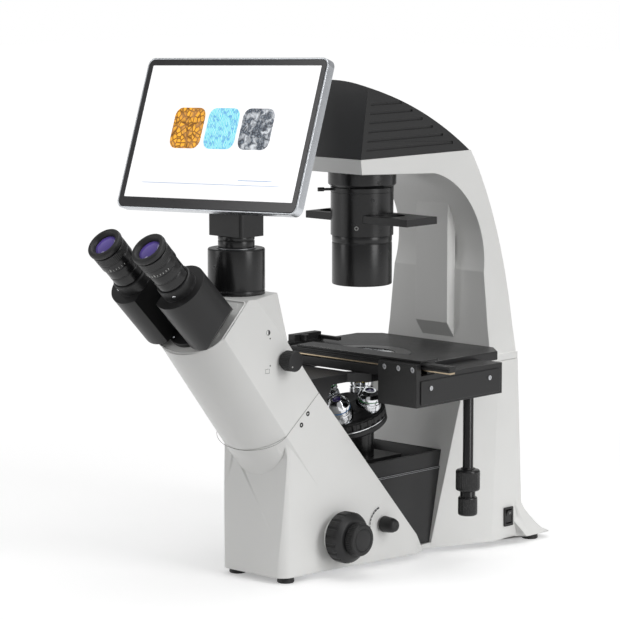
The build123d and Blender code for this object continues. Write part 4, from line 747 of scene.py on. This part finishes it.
@dataclass
class Stand(Assembly):
    """White castings, lamp cover, trough, feet and the printed marks on them."""

    casting_edge: float = 2.6
    head_edge: float = 1.8
    side_x: float = 50.0
    dot: float = 0.9

    def build(self) -> None:
        """Make the stand's pieces."""
        self.soften("base_casting", WHITE, self.casting_edge, 3, 24)
        self.soften("arch_casting", WHITE, self.casting_edge, 3, 24)
        self.soften("head_housing", WHITE, self.head_edge, 3, 24)
        self.soften("lamp_cover", RIBBED, 0.7, 2)
        self.soften("trough", MOULDED, 0.6, 2)
        self.soften("knob_bosses", WHITE, 0.5, 2)
        self.soften("switch_frame", MOULDED, 0.4, 2)
        self.soften("switch_rocker", MOULDED, 0.5, 2)
        self.soften("power_inlet", MOULDED, 0.6, 2)
        for node, finish in (
            ("bottom_cover", STEEL), ("feet", GRIP), ("relay_mirror", MIRROR), ("focus_guide", WRINKLE),
            ("prism_slider", STEEL), ("lamp_lens", CLEAR),
        ):
            self.finish_node(node, finish)
        self.seam()
        self.side_marks()
        self.light_scale()
        self.trough_lines()
        self.face_rim()
        self.switch_marks()

    def seam(self) -> None:
        """Fine dark joint line between column and head, and the four set screws below it."""
        at = COLUMN.moved(z=236.12)
        section = [(50.05, 32.05), (50.05, -33.0)]
        for k in range(1, 24):
            a = math.radians(90 - 180 * k / 24)
            section.append((50.05 * math.sin(a), -33.0 - 28.1 * math.cos(a)))
        section += [(-50.05, -33.0), (-50.05, 32.05)]
        line = bead("seam_line", self.bench, [at.point(x, y) for x, y in section], 0.5)
        self.keep(line, SEAM, "stand")
        for way, word in ((1, "right"), (-1, "left")):
            side = spot((way * self.side_x, 0, 0), (way, 0, 0), (0, 1, 0))
            up = 1 if way > 0 else -1
            for k, (y, z) in enumerate(((-141.0, 183.0), (-151.0, 172.0))):
                hole = side.moved(y, z * up)
                self.turned(
                    f"seam_screw_{word}_{k}", hole,
                    [(0.9, -0.02), (0.9, 0.02), (2.2, 0.05), (2.7, 0.12), (2.7, -0.1)], MOULDED, "stand", steps=24,
                    soft=0.02,
                )

    def side_marks(self) -> None:
        """Marks beside the light-path knob: a half-filled ring, two dots and a small frame."""
        side = RIGHT_SIDE.moved(z=self.side_x)
        dots = [ring_points(self.dot, 16, -199.0, 270.5), ring_points(self.dot, 16, -199.0, 241.5)]
        self.plates("knob_dots", side, dots, 0.0, 0.08, PRINT_DARK, "stand")
        ring = side.moved(-201.8, 277.0)
        self.turned("half_ring", ring, [(2.6, 0), (2.6, 0.08), (3.0, 0.08), (3.0, 0)], PRINT_DARK, "stand",
                    steps=32, soft=0.0, closed=True)
        half = [(2.7 * math.cos(math.radians(a)), 2.7 * math.sin(math.radians(a))) for a in range(-90, 91, 12)]
        self.plates("half_disc", ring, [half], 0.0, 0.08, PRINT_DARK, "stand")
        frame = side.moved(-203.2, 236.0)
        bars = [
            [(-3, -2.4), (3, -2.4), (3, -2.1), (-3, -2.1)], [(-3, 2.1), (3, 2.1), (3, 2.4), (-3, 2.4)],
            [(-3, -2.1), (-2.7, -2.1), (-2.7, 2.1), (-3, 2.1)], [(2.7, -2.1), (3, -2.1), (3, 2.1), (2.7, 2.1)],
        ]
        self.plates("small_frame", frame, bars, 0.0, 0.08, PRINT_DARK, "stand")

    def light_scale(self) -> None:
        """Dashed arc that widens round the light knob."""
        wall_x, radius, dashes, first, step = 62.0, 20.0, 9, 206, 11.5
        at = spot((wall_x, -32.0, 48.0), (0.9945, -0.1047, 0), (0.1047, 0.9945, 0))
        bm = bmesh.new()
        for k in range(dashes):
            a = math.radians(first - k * step)
            wide = 0.35 + 0.16 * k
            ux, uy = math.cos(a), math.sin(a)
            tx, ty = -uy, ux
            outline = [
                (ux * (radius + s * wide / 2) + tx * t * 1.5, uy * (radius + s * wide / 2) + ty * t * 1.5)
                for s, t in ((-1, -1), (1, -1), (1, 1), (-1, 1))
            ]
            add_plate(bm, self.bench, at, outline, -0.25, 0.12)
        self.keep(mesh_object("light_scale", bm), PRINT_DARK, "stand")

    def trough_lines(self) -> None:
        """Two bright lines along the trough's ledge on each side."""
        for way, word in ((1, "right"), (-1, "left")):
            for k, z in enumerate((97.9, 96.2)):
                front = (32 - 0.629 * z) / 0.777 + 1.0
                back = 51.0 + (94.0 - 51.0) * (z - 7) / 204.0 - 1.0
                path = [Vector((way * (55.75 - 0.15), y, z)) for y in (front, back)]
                self.keep(bead(f"ledge_line_{word}_{k}", self.bench, path, 0.4), STEEL, "stand")

    def face_rim(self) -> None:
        """Raised rim round the slanting face and the two plugs on each side of it."""
        at = HINGE
        outline = [(47.4, -24.5), (47.4, 21.5), (45.4, 23.4), (-45.4, 23.4), (-47.4, 21.5), (-47.4, -24.5)]
        for k in range(1, 24):
            a = math.radians(180 + 180 * k / 24)
            outline.append((47.4 * math.cos(a), -24.5 + 25.4 * math.sin(a)))
        path = [at.point(x, y, 0.1) for x, y in outline]
        self.keep(bead("face_rim", self.bench, path, 1.8, True), WHITE, "stand")
        for k, (x, y) in enumerate(((35.0, -22.4), (35.0, 17.0), (-35.0, -22.4), (-35.0, 17.0))):
            self.turned(f"face_plug_{k}", at.moved(x, y), [(0, 0.25), (4.4, 0.25), (5.0, 0.0), (5.0, -0.4), (0, -0.4)],
                        WHITE, "stand", steps=40, soft=0.15)

    def switch_marks(self) -> None:
        """Bar on the power rocker."""
        low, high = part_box("switch_rocker")
        x = (high.x - self.bench.axis.x) / MM
        y = ((low.y + high.y) / 2 - self.bench.axis.y) / MM
        z = (low.z + high.z) / 2 / MM
        at = spot((x - 2.3, y, z), (0.96, 0, -0.28), (0, 1, 0))
        self.plates("rocker_bar", at.moved(0, 4.0, 0.3), [[(-0.3, -1.3), (0.3, -1.3), (0.3, 1.3), (-0.3, 1.3)]],
                    -0.2, 0.1, PRINT_WHITE, "power_rocker")


@dataclass
class Knobs(Assembly):
    """Focus knobs, light knob and light-path knob."""

    focus_y: float = -98.0
    focus_z: float = 44.0
    light_y: float = -32.0
    light_z: float = 48.0
    selector_y: float = -177.0
    selector_z: float = 245.0

    def build(self) -> None:
        """Make the knobs."""
        coarse, fine = bmesh.new(), bmesh.new()
        for way in (1, -1):
            at = spot((0, self.focus_y, self.focus_z), (way, 0, 0), (0, way, 0))
            add_turned(
                coarse, self.bench, at,
                [(6.1, 59.0), (23.5, 59.0), (27.2, 60.4), (28.0, 62.5), (28.0, 72.5), (26.2, 75.4), (21.5, 79.4),
                 (19.5, 79.7), (6.1, 79.7)],
                soft=0.9, closed=True, flutes=(Flutes(18, 1.1, 61.5, 74.5, 0.30),),
            )
            add_turned(
                fine, self.bench, at,
                [(3.1, 80.3), (16.4, 80.3), (17.5, 81.0), (17.5, 90.0), (16.4, 91.4), (13.4, 91.6), (12.8, 90.8),
                 (11.9, 90.8), (11.3, 91.7), (0, 91.9)],
                soft=0.35, flutes=(Flutes(44, 0.7, 81.6, 89.6, 0.42),),
            )
        self.keep(mesh_object("coarse_grips", coarse, 26), GRIP, "coarse_focus", ("coarse_knobs",))
        self.keep(mesh_object("fine_grips", fine, 26), GRIP, "fine_focus", ("fine_knobs",))
        self.finish_node("coarse_sleeve", STEEL)
        self.finish_node("fine_shaft", STEEL)
        low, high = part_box("light_knob")
        top = (high.x - self.bench.axis.x) / MM
        at = spot((top - 18.0, self.light_y, self.light_z), (1, 0, 0), (0, 1, 0))
        self.turned(
            "light_grip", at,
            [(0, -2.0), (3.0, -2.0), (3.0, 0), (8.6, 0), (9.0, 0.6), (8.5, 9.0), (7.9, 13.5), (6.2, 17.2), (4.4, 18.0),
             (1.3, 18.0), (1.1, 17.6), (0, 17.6)],
            GRIP, self.bench.body_of("light_knob"), ("light_knob",), soft=0.5,
        )
        at = spot((0, self.selector_y, self.selector_z), (1, 0, 0), (0, 1, 0))
        self.turned(
            "selector_grip", at,
            [(0, 17.6), (4.0, 17.6), (4.0, 50.7), (9.4, 50.7), (9.6, 53.4), (11.0, 53.7), (11.0, 65.8), (10.2, 66.9),
             (0, 66.9)],
            GRIP, self.bench.body_of("selector_knob"), ("selector_knob",), soft=0.3,
            flutes=(Flutes(30, 0.45, 54.2, 65.6, 0.4),),
        )
        self.turned("selector_dot", at.moved(-5.6, -5.2, 66.8), [(0, 0), (0.9, 0), (0.9, 0.16), (0, 0.16)],
                    PRINT_WHITE, self.bench.body_of("selector_knob"), steps=20, soft=0.05)


@dataclass
class Nosepiece(Assembly):
    """Turret with its objectives, and the focus tube that carries it."""

    tilt: float = 16.0
    seat: float = 30.0
    seat_z: float = 178.0
    places: int = 5

    def build(self) -> None:
        """Make the nosepiece."""
        tilt = math.radians(self.tilt)
        reach = self.seat / math.sin(tilt)
        apex = Vector((0, 0, self.seat_z - reach))
        turret = spot(
            (0, -reach * math.cos(tilt) * math.sin(tilt), apex.z + reach * math.cos(tilt) ** 2),
            (0, -math.sin(tilt), math.cos(tilt)),
        )
        for node, finish in (("focus_tube", SATIN), ("focus_rack", RACK), ("turret", WRINKLE)):
            self.finish_node(node, finish)
        self.soften("nosepiece_base", WRINKLE, 0.8, 2)
        self.turned(
            "turret_grip", turret,
            [(41.0, -13.6), (44.2, -13.6), (45.0, -12.9), (45.0, -6.2), (44.0, -5.4), (41.0, -5.2)], GRIP, "turret",
            soft=0.4, closed=True, flutes=(Flutes(30, 1.6, -12.6, -6.4, 0.55),),
        )
        self.turned("turret_ring", turret, [(42.0, -15.1), (44.4, -15.1), (44.6, -13.8), (42.0, -13.8)], CHROME,
                    "turret", soft=0.2, closed=True)
        self.turned("turret_lip", turret, [(38.0, -4.4), (43.2, -4.6), (40.8, -2.6), (37.0, -0.8)], CHROME, "turret",
                    soft=0.2, closed=True)
        bands = (RING_YELLOW, RING_GREEN, RING_BLUE, RING_YELLOW, RING_GREEN)
        lengths = (36.0, 22.0, 28.0, 26.0, 31.0)
        sleeves = bmesh.new()
        for place in range(self.places):
            swing = math.radians(place * 360 / self.places)
            way = turret.z * math.cos(tilt) + (turret.y * math.cos(swing) + turret.x * math.sin(swing)) * math.sin(tilt)
            seat = spot(apex + way * reach, way, turret.x)
            top = lengths[place]
            wide = 13.4 if place == 0 else 12.9
            bm = sleeves if place else bmesh.new()
            add_turned(
                bm, self.bench, seat,
                [(4.6, -5.0), (9.6, -5.0), (9.6, 0.1), (wide - 0.6, 0.1), (wide, 0.8), (wide, top * 0.36),
                 (wide - 0.8, top * 0.38), (wide - 0.8, top * 0.41), (wide, top * 0.43), (wide, top * 0.70),
                 (wide - 2.6, top * 0.86), (7.0, top - 0.2), (5.6, top - 0.1), (4.6, top - 0.8)],
                soft=0.3, closed=True, flutes=(Flutes(60, 0.25, top * 0.08, top * 0.30, 0.4),),
            )
            if place == 0:
                self.keep(mesh_object("active_sleeve", bm, 26), CHROME, "turret", ("active_objective",))
            self.turned(f"colour_band_{place}", seat,
                        [(wide - 0.3, top * 0.52), (wide + 0.04, top * 0.52), (wide + 0.04, top * 0.57),
                         (wide - 0.3, top * 0.57)], bands[place], "turret", soft=0.03, closed=True)
            self.turned(f"front_lens_{place}", seat, [(0, top - 1.2), (4.6, top - 1.6), (4.6, top - 3.0), (0, top - 3.0)],
                        LENS, "turret", steps=40, soft=0.2)
        self.keep(mesh_object("side_sleeves", sleeves, 26), CHROME, "turret", ("side_objectives",))


@dataclass
class StageTable(Assembly):
    """Stage plate, mechanical stage and its coaxial drive."""

    drive_x: float = 124.0
    drive_y: float = 37.5

    def build(self) -> None:
        """Make the stage."""
        for node, width in (
            ("stage_support", 0.8), ("stage_plate", 1.0), ("y_carriage", 0.8), ("carriage_cover", 0.5),
            ("stage_bar", 0.5), ("x_slide", 0.4), ("specimen_holder", 0.5),
        ):
            self.soften(node, WRINKLE, width, 2)
        self.soften("stage_insert", SATIN, 0.3, 2)
        self.finish_node("x_rack", RACK)
        self.finish_node("carriage_screws", STEEL)
        self.insert_glass()
        self.scales()
        self.drive()

    def insert_glass(self) -> None:
        """Glass disc in the stage insert."""
        self.turned("insert_glass", UPRIGHT.moved(z=227.25), [(0, 0), (36.6, 0), (36.6, 1.4), (0, 1.4)], CLEAR,
                    self.bench.body_of("stage_insert"), soft=0.2)

    def scales(self) -> None:
        """Millimetre ticks on the bar and on the carriage's edge."""
        half, bar_y, plate_x = 0.08, -62.2, 105.0
        on_bar, on_plate = [], []
        for k in range(0, 101):
            long = 2.6 if k % 10 == 0 else 1.8 if k % 5 == 0 else 1.1
            x, y = -36.0 + k, -30.0 + k
            on_bar.append([(x - half, bar_y), (x + half, bar_y), (x + half, bar_y + long), (x - half, bar_y + long)])
            if k <= 80:
                on_plate.append([(plate_x - long, y - half), (plate_x, y - half), (plate_x, y + half),
                                 (plate_x - long, y + half)])
        for word, z, ticks in (("bar", 240.6, on_bar), ("plate", 229.0, on_plate)):
            self.plates(f"{word}_scale", UPRIGHT.moved(z=z), ticks, -0.02, 0.04, PRINT_WHITE,
                        self.bench.body_of(f"stage_{word}"))

    def drive(self) -> None:
        """Rod and the two coaxial knobs."""
        at = UPRIGHT.moved(self.drive_x, self.drive_y)
        self.turned(
            "y_grip", at,
            [(3.06, 83.9), (11.6, 83.9), (13.2, 85.0), (13.4, 86.0), (13.4, 105.5), (12.4, 107.2), (9.6, 108.0),
             (8.2, 108.0), (7.6, 109.2), (5.8, 109.6), (5.8, 197.0), (3.06, 197.0)],
            SATIN, self.bench.body_of("y_knob"), ("y_knob",), soft=0.5, closed=True,
            flutes=(Flutes(36, 0.35, 87.0, 104.5, 0.35),),
        )
        self.turned(
            "x_grip", at,
            [(0, 56.2), (8.6, 56.2), (10.2, 56.9), (10.7, 58.0), (10.7, 75.6), (9.8, 76.9), (8.4, 77.1), (8.4, 83.6),
             (2.95, 83.6), (2.95, 203.0), (0, 203.0)],
            SATIN, self.bench.body_of("x_knob"), ("x_knob",), soft=0.4, flutes=(Flutes(32, 0.35, 59.0, 74.6, 0.35),),
        )


@dataclass
class Condenser(Assembly):
    """Condenser with its aperture lever and phase slider."""

    radius: float = 34.8

    def build(self) -> None:
        """Make the condenser."""
        self.soften("condenser_mount", SATIN, 0.5, 2)
        self.soften("condenser_body", SATIN, 0.5, 2)
        self.soften("phase_slider", WRINKLE, 0.5, 2)
        self.soften("aperture_ring", SATIN, 0.4, 2)
        self.turned(
            "condenser_sleeve", UPRIGHT,
            [(28.4, 306.1), (31.4, 306.0), (33.0, 306.6), (33.3, 307.6), (33.3, 352.6), (32.8, 353.0), (32.8, 353.9),
             (33.3, 354.3), (33.3, 361.0), (22.0, 361.0), (22.0, 319.0), (28.4, 319.0)],
            SATIN, "stand", ("condenser_tube",), soft=0.3, closed=True,
        )
        self.finish_node("condenser_lens", CLEAR)
        for k, (degrees, z) in enumerate(((-28.0, 402.0), (-18.0, 421.0), (62.0, 402.0))):
            at = spot((0, 0, z), (math.cos(math.radians(degrees)), math.sin(math.radians(degrees)), 0), (0, 0, 1))
            radius = self.radius if z < 410 else self.radius + 3
            self.turned(f"condenser_screw_{k}", at.moved(z=radius - 0.35),
                        [(0, 0.1), (0.8, 0.1), (1.0, 0.45), (1.7, 0.5), (2.0, 0.42), (2.0, 0)], MOULDED, "stand",
                        steps=24, soft=0.05)
        at = spot((0, 0, 371.0), (math.cos(math.radians(-58)), math.sin(math.radians(-58)), 0), (0, 0, 1))
        self.turned("condenser_mark", at.moved(z=self.radius - 0.05),
                    [(1.5, 0), (2.2, 0), (2.2, 0.12), (1.5, 0.12)], PRINT_WHITE, "stand", steps=28, soft=0.02,
                    closed=True)


@dataclass
class Binocular(Assembly):
    """Hub, two tube housings, eyepieces and dioptre rings."""

    eye_x: float = 32.5
    eye_y: float = -18.7
    face: float = 137.9

    def build(self) -> None:
        """Make the binocular."""
        self.soften("binocular_hub", MOULDED, 0.6, 2)
        self.finish_node("head_screws", CHROME)
        for side, way in (("left", -1), ("right", 1)):
            eye = HINGE.moved(way * self.eye_x, self.eye_y)
            body = self.bench.body_of(f"tube_housing_{side}")
            self.soften(f"tube_housing_{side}", MOULDED, 0.9, 2, 26)
            self.clamp(side, eye, body)
            self.eyepiece(side, eye, body)

    def clamp(self, side: str, eye: Spot, body: str) -> None:
        """Thin bright screw heads and the joint lines of one housing."""
        way = -1 if side == "left" else 1
        degrees = -62.0 if way > 0 else -118.0
        out = math.radians(degrees)
        at = spot(
            eye.point(19.45 * math.cos(out), 19.45 * math.sin(out), 80.0),
            eye.x * math.cos(out) + eye.y * math.sin(out), eye.z,
        )
        self.turned(f"clamp_screw_{side}", at, [(0, 0.25), (0.7, 0.3), (1.5, 0.3), (1.8, 0.05), (1.8, -0.3)], CHROME,
                    body, steps=24, soft=0.08)
        self.turned(f"clamp_groove_{side}", eye,
                    [(19.0, 75.4), (19.56, 75.4), (19.56, 75.9), (19.0, 75.9)], BEZEL, body, soft=0.05, closed=True)

    def eyepiece(self, side: str, eye: Spot, body: str) -> None:
        """Collar, eyecup, lens and dioptre ring with its ticks."""
        f = self.face
        self.turned(
            f"eye_barrel_{side}", eye,
            [(13.6, 46.0), (14.9, 46.0), (14.9, 87.3), (17.2, 87.3), (17.5, 88.0), (17.5, 98.0), (17.0, 98.4),
             (17.0, 99.4), (17.5, 99.8), (17.5, 109.4), (16.3, 109.8), (16.3, f - 7.2), (13.6, f - 7.2)],
            SATIN, body, (f"eyepiece_{side}",), soft=0.3, closed=True,
        )
        self.turned(
            f"eye_cup_{side}", eye,
            [(15.9, f - 7.0), (18.3, f - 6.8), (19.2, f - 5.6), (19.5, f - 3.6), (19.2, f - 1.2), (18.2, f - 0.1),
             (15.6, f), (14.2, f - 0.7), (12.9, f - 2.6), (12.2, f - 4.2), (12.2, f - 6.9)],
            GRIP, body, soft=0.5, closed=True,
        )
        self.turned(f"eye_lens_{side}", eye,
                    [(0, f - 2.9), (3, f - 3.0), (6, f - 3.35), (9, f - 3.9), (12.3, f - 4.9), (12.3, f - 6.2),
                     (0, f - 6.2)], LENS, body, soft=0.2)
        ring_body = self.bench.body_of(f"dioptre_ring_{side}")
        self.turned(
            f"dioptre_grip_{side}", eye,
            [(16.6, f - 27.6), (18.2, f - 27.6), (18.5, f - 27.0), (18.5, f - 18.8), (18.1, f - 18.3), (18.1, f - 17.7),
             (18.6, f - 17.3), (18.6, f - 8.6), (18.2, f - 7.9), (16.6, f - 7.8)],
            SATIN, ring_body, (f"dioptre_ring_{side}",), soft=0.25, closed=True,
            flutes=(Flutes(60, 0.3, f - 16.8, f - 9.0, 0.4),),
        )
        bm = bmesh.new()
        for k in range(-5, 6):
            a = math.radians(-72 + k * 10.5)
            tall = 3.4 if k == 0 else 1.9
            wide = 0.5 if k == 0 else 0.32
            at = spot(eye.point(18.46 * math.cos(a), 18.46 * math.sin(a), f - 25.6),
                      eye.x * math.cos(a) + eye.y * math.sin(a), eye.z)
            add_plate(bm, self.bench, at, [(0, -wide), (tall, -wide), (tall, wide), (0, wide)], -0.1, 0.12)
        self.keep(mesh_object(f"dioptre_ticks_{side}", bm), PRINT_WHITE, ring_body)


@dataclass
class CameraAndTablet(Assembly):
    """Phototube, camera and the tablet on its tilting bracket."""

    photo_y: float = -198.5
    lean: float = 20.4
    twist: float = 2.3

    def build(self) -> None:
        """Make the camera side."""
        port = UPRIGHT.moved(0, self.photo_y)
        self.turned(
            "photo_sleeve", port,
            [(14.0, 314.1), (30.0, 314.1), (30.5, 314.6), (30.5, 318.2), (30.1, 318.5), (30.1, 319.1), (30.5, 319.4),
             (30.5, 361.6), (29.6, 362.9), (28.8, 363.0), (21.4, 363.0), (20.8, 362.6), (14.0, 362.6)],
            SATIN, "stand", ("phototube",), soft=0.3, closed=True,
        )
        a = math.radians(-95)
        at = spot(port.point(30.5 * math.cos(a), 30.5 * math.sin(a), 345.0), (math.cos(a), math.sin(a), 0), (0, 0, 1))
        self.turned("photo_screw", at, [(0.9, -0.3), (1.1, 0.06), (2.5, 0.1), (2.8, 0.02), (2.8, -0.3)], BEZEL, "stand",
                    steps=28, soft=0.04)
        body = self.bench.body_of("camera_adapter")
        self.turned(
            "camera_neck", port,
            [(10.0, 348.2), (13.9, 348.2), (13.9, 363.5), (19.2, 363.5), (19.6, 364.2), (19.6, 370.6), (19.1, 371.0),
             (19.1, 371.6), (19.6, 372.0), (19.6, 375.9), (10.0, 375.9)],
            SATIN, body, ("camera_adapter",), soft=0.25, closed=True,
        )
        self.turned("neck_ring", port, [(19.0, 363.15), (21.0, 363.15), (21.0, 363.5), (19.0, 363.5)], STEEL, body,
                    soft=0.05, closed=True)
        self.soften("camera_body", MOULDED, 0.8, 2)
        self.soften("tablet_bracket", MOULDED, 0.5, 2)
        self.soften("tablet_shell", ALLOY, 1.3, 3)
        self.finish_node("tablet_bezel", BEZEL)
        self.finish_node("tablet_screen", DISPLAY)
        self.pictures()

    def pictures(self) -> None:
        """Three rounded picture tiles and two thin rules on the screen."""
        lean, twist = math.radians(self.lean), math.radians(self.twist)
        up = Vector((0, math.sin(lean), math.cos(lean)))
        out = Vector((0, -math.cos(lean), math.sin(lean)))
        screen = spot((0, -217.0, 483.0), out, Vector((1, 0, 0)) * math.cos(twist) + up * math.sin(twist))
        top = 5.2  # front face of the screen over the tablet's middle plane
        body = self.bench.body_of("tablet_screen")
        looks = (
            Picture("amber cells", Slot.SCREEN, (0.10, 0.03, 0.005), (0.80, 0.38, 0.03), (0.35, 0.16, 0.05), 190.0),
            Picture("blue tissue", Slot.SCREEN, (0.05, 0.42, 0.50), (0.45, 0.82, 0.86), (0.10, 0.30, 0.55), 420.0,
                    False),
            Picture("grey grains", Slot.SCREEN, (0.01, 0.012, 0.018), (0.10, 0.12, 0.15), (0.50, 0.52, 0.55), 330.0),
        )
        for k, (look, x) in enumerate(zip(looks, (-50.0, 0.0, 50.0))):
            self.plates(f"picture_{k}", screen, [rounded(45, 45, 10, x, 6)], top - 0.02, top + 0.05, look, body)
        rule = Picture("pale rule", Slot.SCREEN, (0.25, 0.35, 0.55), (0.30, 0.42, 0.62), (0.35, 0.45, 0.65), 60.0,
                       False, 0.6)
        lines = [
            [(-100, -55.2), (100, -55.2), (100, -54.6), (-100, -54.6)],
            [(40, -50.2), (88, -50.2), (88, -49.4), (40, -49.4)],
        ]
        self.plates("screen_rules", screen, lines, top - 0.02, top + 0.05, rule, body)


@dataclass
class Studio:
    """Camera, floor, lamps and background."""

    camera_at: tuple[float, float, float] = (2.22217, -2.40708, 0.73492)
    camera_turn: tuple[float, float, float] = (82.2, 0.0, 43.1)
    lens: float = 176.6
    floor_size: float = 9.0
    floor_glow: float = 0.34
    floor_fade: tuple[float, float] = (0.42, 1.1)
    glossy_level: float = 0.42
    surround_level: float = 0.33

    def build(self) -> None:
        """Set up the studio."""
        self.camera()
        self.floor()
        self.lamps()
        self.world()
        bpy.context.scene.view_settings.view_transform = "Standard"

    def camera(self) -> None:
        """Camera at the photograph's angle."""
        data = bpy.data.cameras.new("camera")
        data.sensor_width = 36.0
        data.lens = self.lens
        data.clip_start, data.clip_end = 0.1, 40.0
        made = bpy.data.objects.new("camera", data)
        made.location = self.camera_at
        made.rotation_euler = [math.radians(a) for a in self.camera_turn]
        bpy.context.scene.collection.objects.link(made)
        bpy.context.scene.camera = made

    def floor(self) -> None:
        """Pale floor that keeps a soft shadow."""
        bm = bmesh.new()
        bmesh.ops.create_grid(bm, x_segments=8, y_segments=8, size=self.floor_size)
        piece = mesh_object("floor", bm)
        made = bpy.data.materials.new("studio floor")
        made.use_nodes = True
        net = Net(made.node_tree)
        shader = made.node_tree.nodes["Principled BSDF"]
        shader.inputs["Roughness"].default_value = 0.7
        shader.inputs["Specular IOR Level"].default_value = 0.1
        rays = net.add("ShaderNodeLightPath")
        seen = net.maths("MAXIMUM", rays.outputs["Is Camera Ray"],
                         net.maths("MAXIMUM", rays.outputs["Is Glossy Ray"], rays.outputs["Is Transmission Ray"]))
        place = net.add("ShaderNodeTexCoord")
        reach = net.add("ShaderNodeVectorMath", operation="LENGTH")
        net.link(place.outputs["Object"], reach.inputs[0])
        far = net.spread(reach.outputs["Value"], self.floor_glow, 1.0, *self.floor_fade)
        glow = net.mix(far, (0.0, 0.0, 0.0), (1.0, 1.0, 1.0))
        net.link(net.mix(seen, (0.0, 0.0, 0.0), glow), shader.inputs["Emission Color"])
        away = net.spread(reach.outputs["Value"], 0.0, 1.0, *self.floor_fade)
        net.link(net.mix(away, (0.86, 0.86, 0.86), (0.0, 0.0, 0.0)), shader.inputs["Base Color"])
        shader.inputs["Emission Strength"].default_value = 1.0
        piece.data.materials.append(made)

    def lamp(self, name: str, at: Sequence[float], size: Sequence[float], power: float, aim: Sequence[float]) -> None:
        """One soft rectangular lamp aimed at a point."""
        data = bpy.data.lights.new(name, "AREA")
        data.shape = "RECTANGLE"
        data.size, data.size_y = size
        data.energy = power
        made = bpy.data.objects.new(name, data)
        made.location = at
        made.rotation_euler = (Vector(aim) - Vector(at)).to_track_quat("-Z", "Y").to_euler()
        bpy.context.scene.collection.objects.link(made)

    def lamps(self) -> None:
        """Tall soft boxes at right and left front, and a wide one overhead."""
        self.lamp("right_box", (2.6, 0.2, 1.3), (1.1, 2.2), 36.0, (0, 0, 0.25))
        self.lamp("left_box", (-1.7, -2.3, 1.2), (0.9, 2.0), 13.0, (0, 0, 0.25))
        self.lamp("overhead", (0.2, 0.1, 2.6), (2.4, 2.4), 30.0, (0, 0, 0.2))

    def world(self) -> None:
        """Even pale surround that the camera and the reflections see as white."""
        world = bpy.data.worlds.new("surround")
        world.use_nodes = True
        bpy.context.scene.world = world
        net = Net(world.node_tree)
        back = world.node_tree.nodes["Background"]
        rays = net.add("ShaderNodeLightPath")
        seen = net.maths("MAXIMUM", rays.outputs["Is Camera Ray"], rays.outputs["Is Transmission Ray"])
        back.inputs["Color"].default_value = (1, 1, 1, 1)
        glossy = net.maths("MULTIPLY", rays.outputs["Is Glossy Ray"], self.glossy_level)
        level = net.maths("MAXIMUM", net.maths("MAXIMUM", seen, glossy), self.surround_level)
        net.link(level, back.inputs["Strength"])


def main() -> None:
    """Build the whole scene and report its pieces."""
    logging.basicConfig(level=logging.INFO, format="%(name)s: %(message)s")
    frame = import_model()
    bench = Bench(frame)
    Studio().build()
    assemblies = (Stand, Knobs, Nosepiece, StageTable, Condenser, Binocular, CameraAndTablet)
    for kind in assemblies:
        assembly = kind(bench)
        assembly.build()
        LOG.info("%s: %d pieces", kind.__name__, len(assembly.made))
    bpy.context.view_layer.update()


if __name__ == "__main__":
    main()
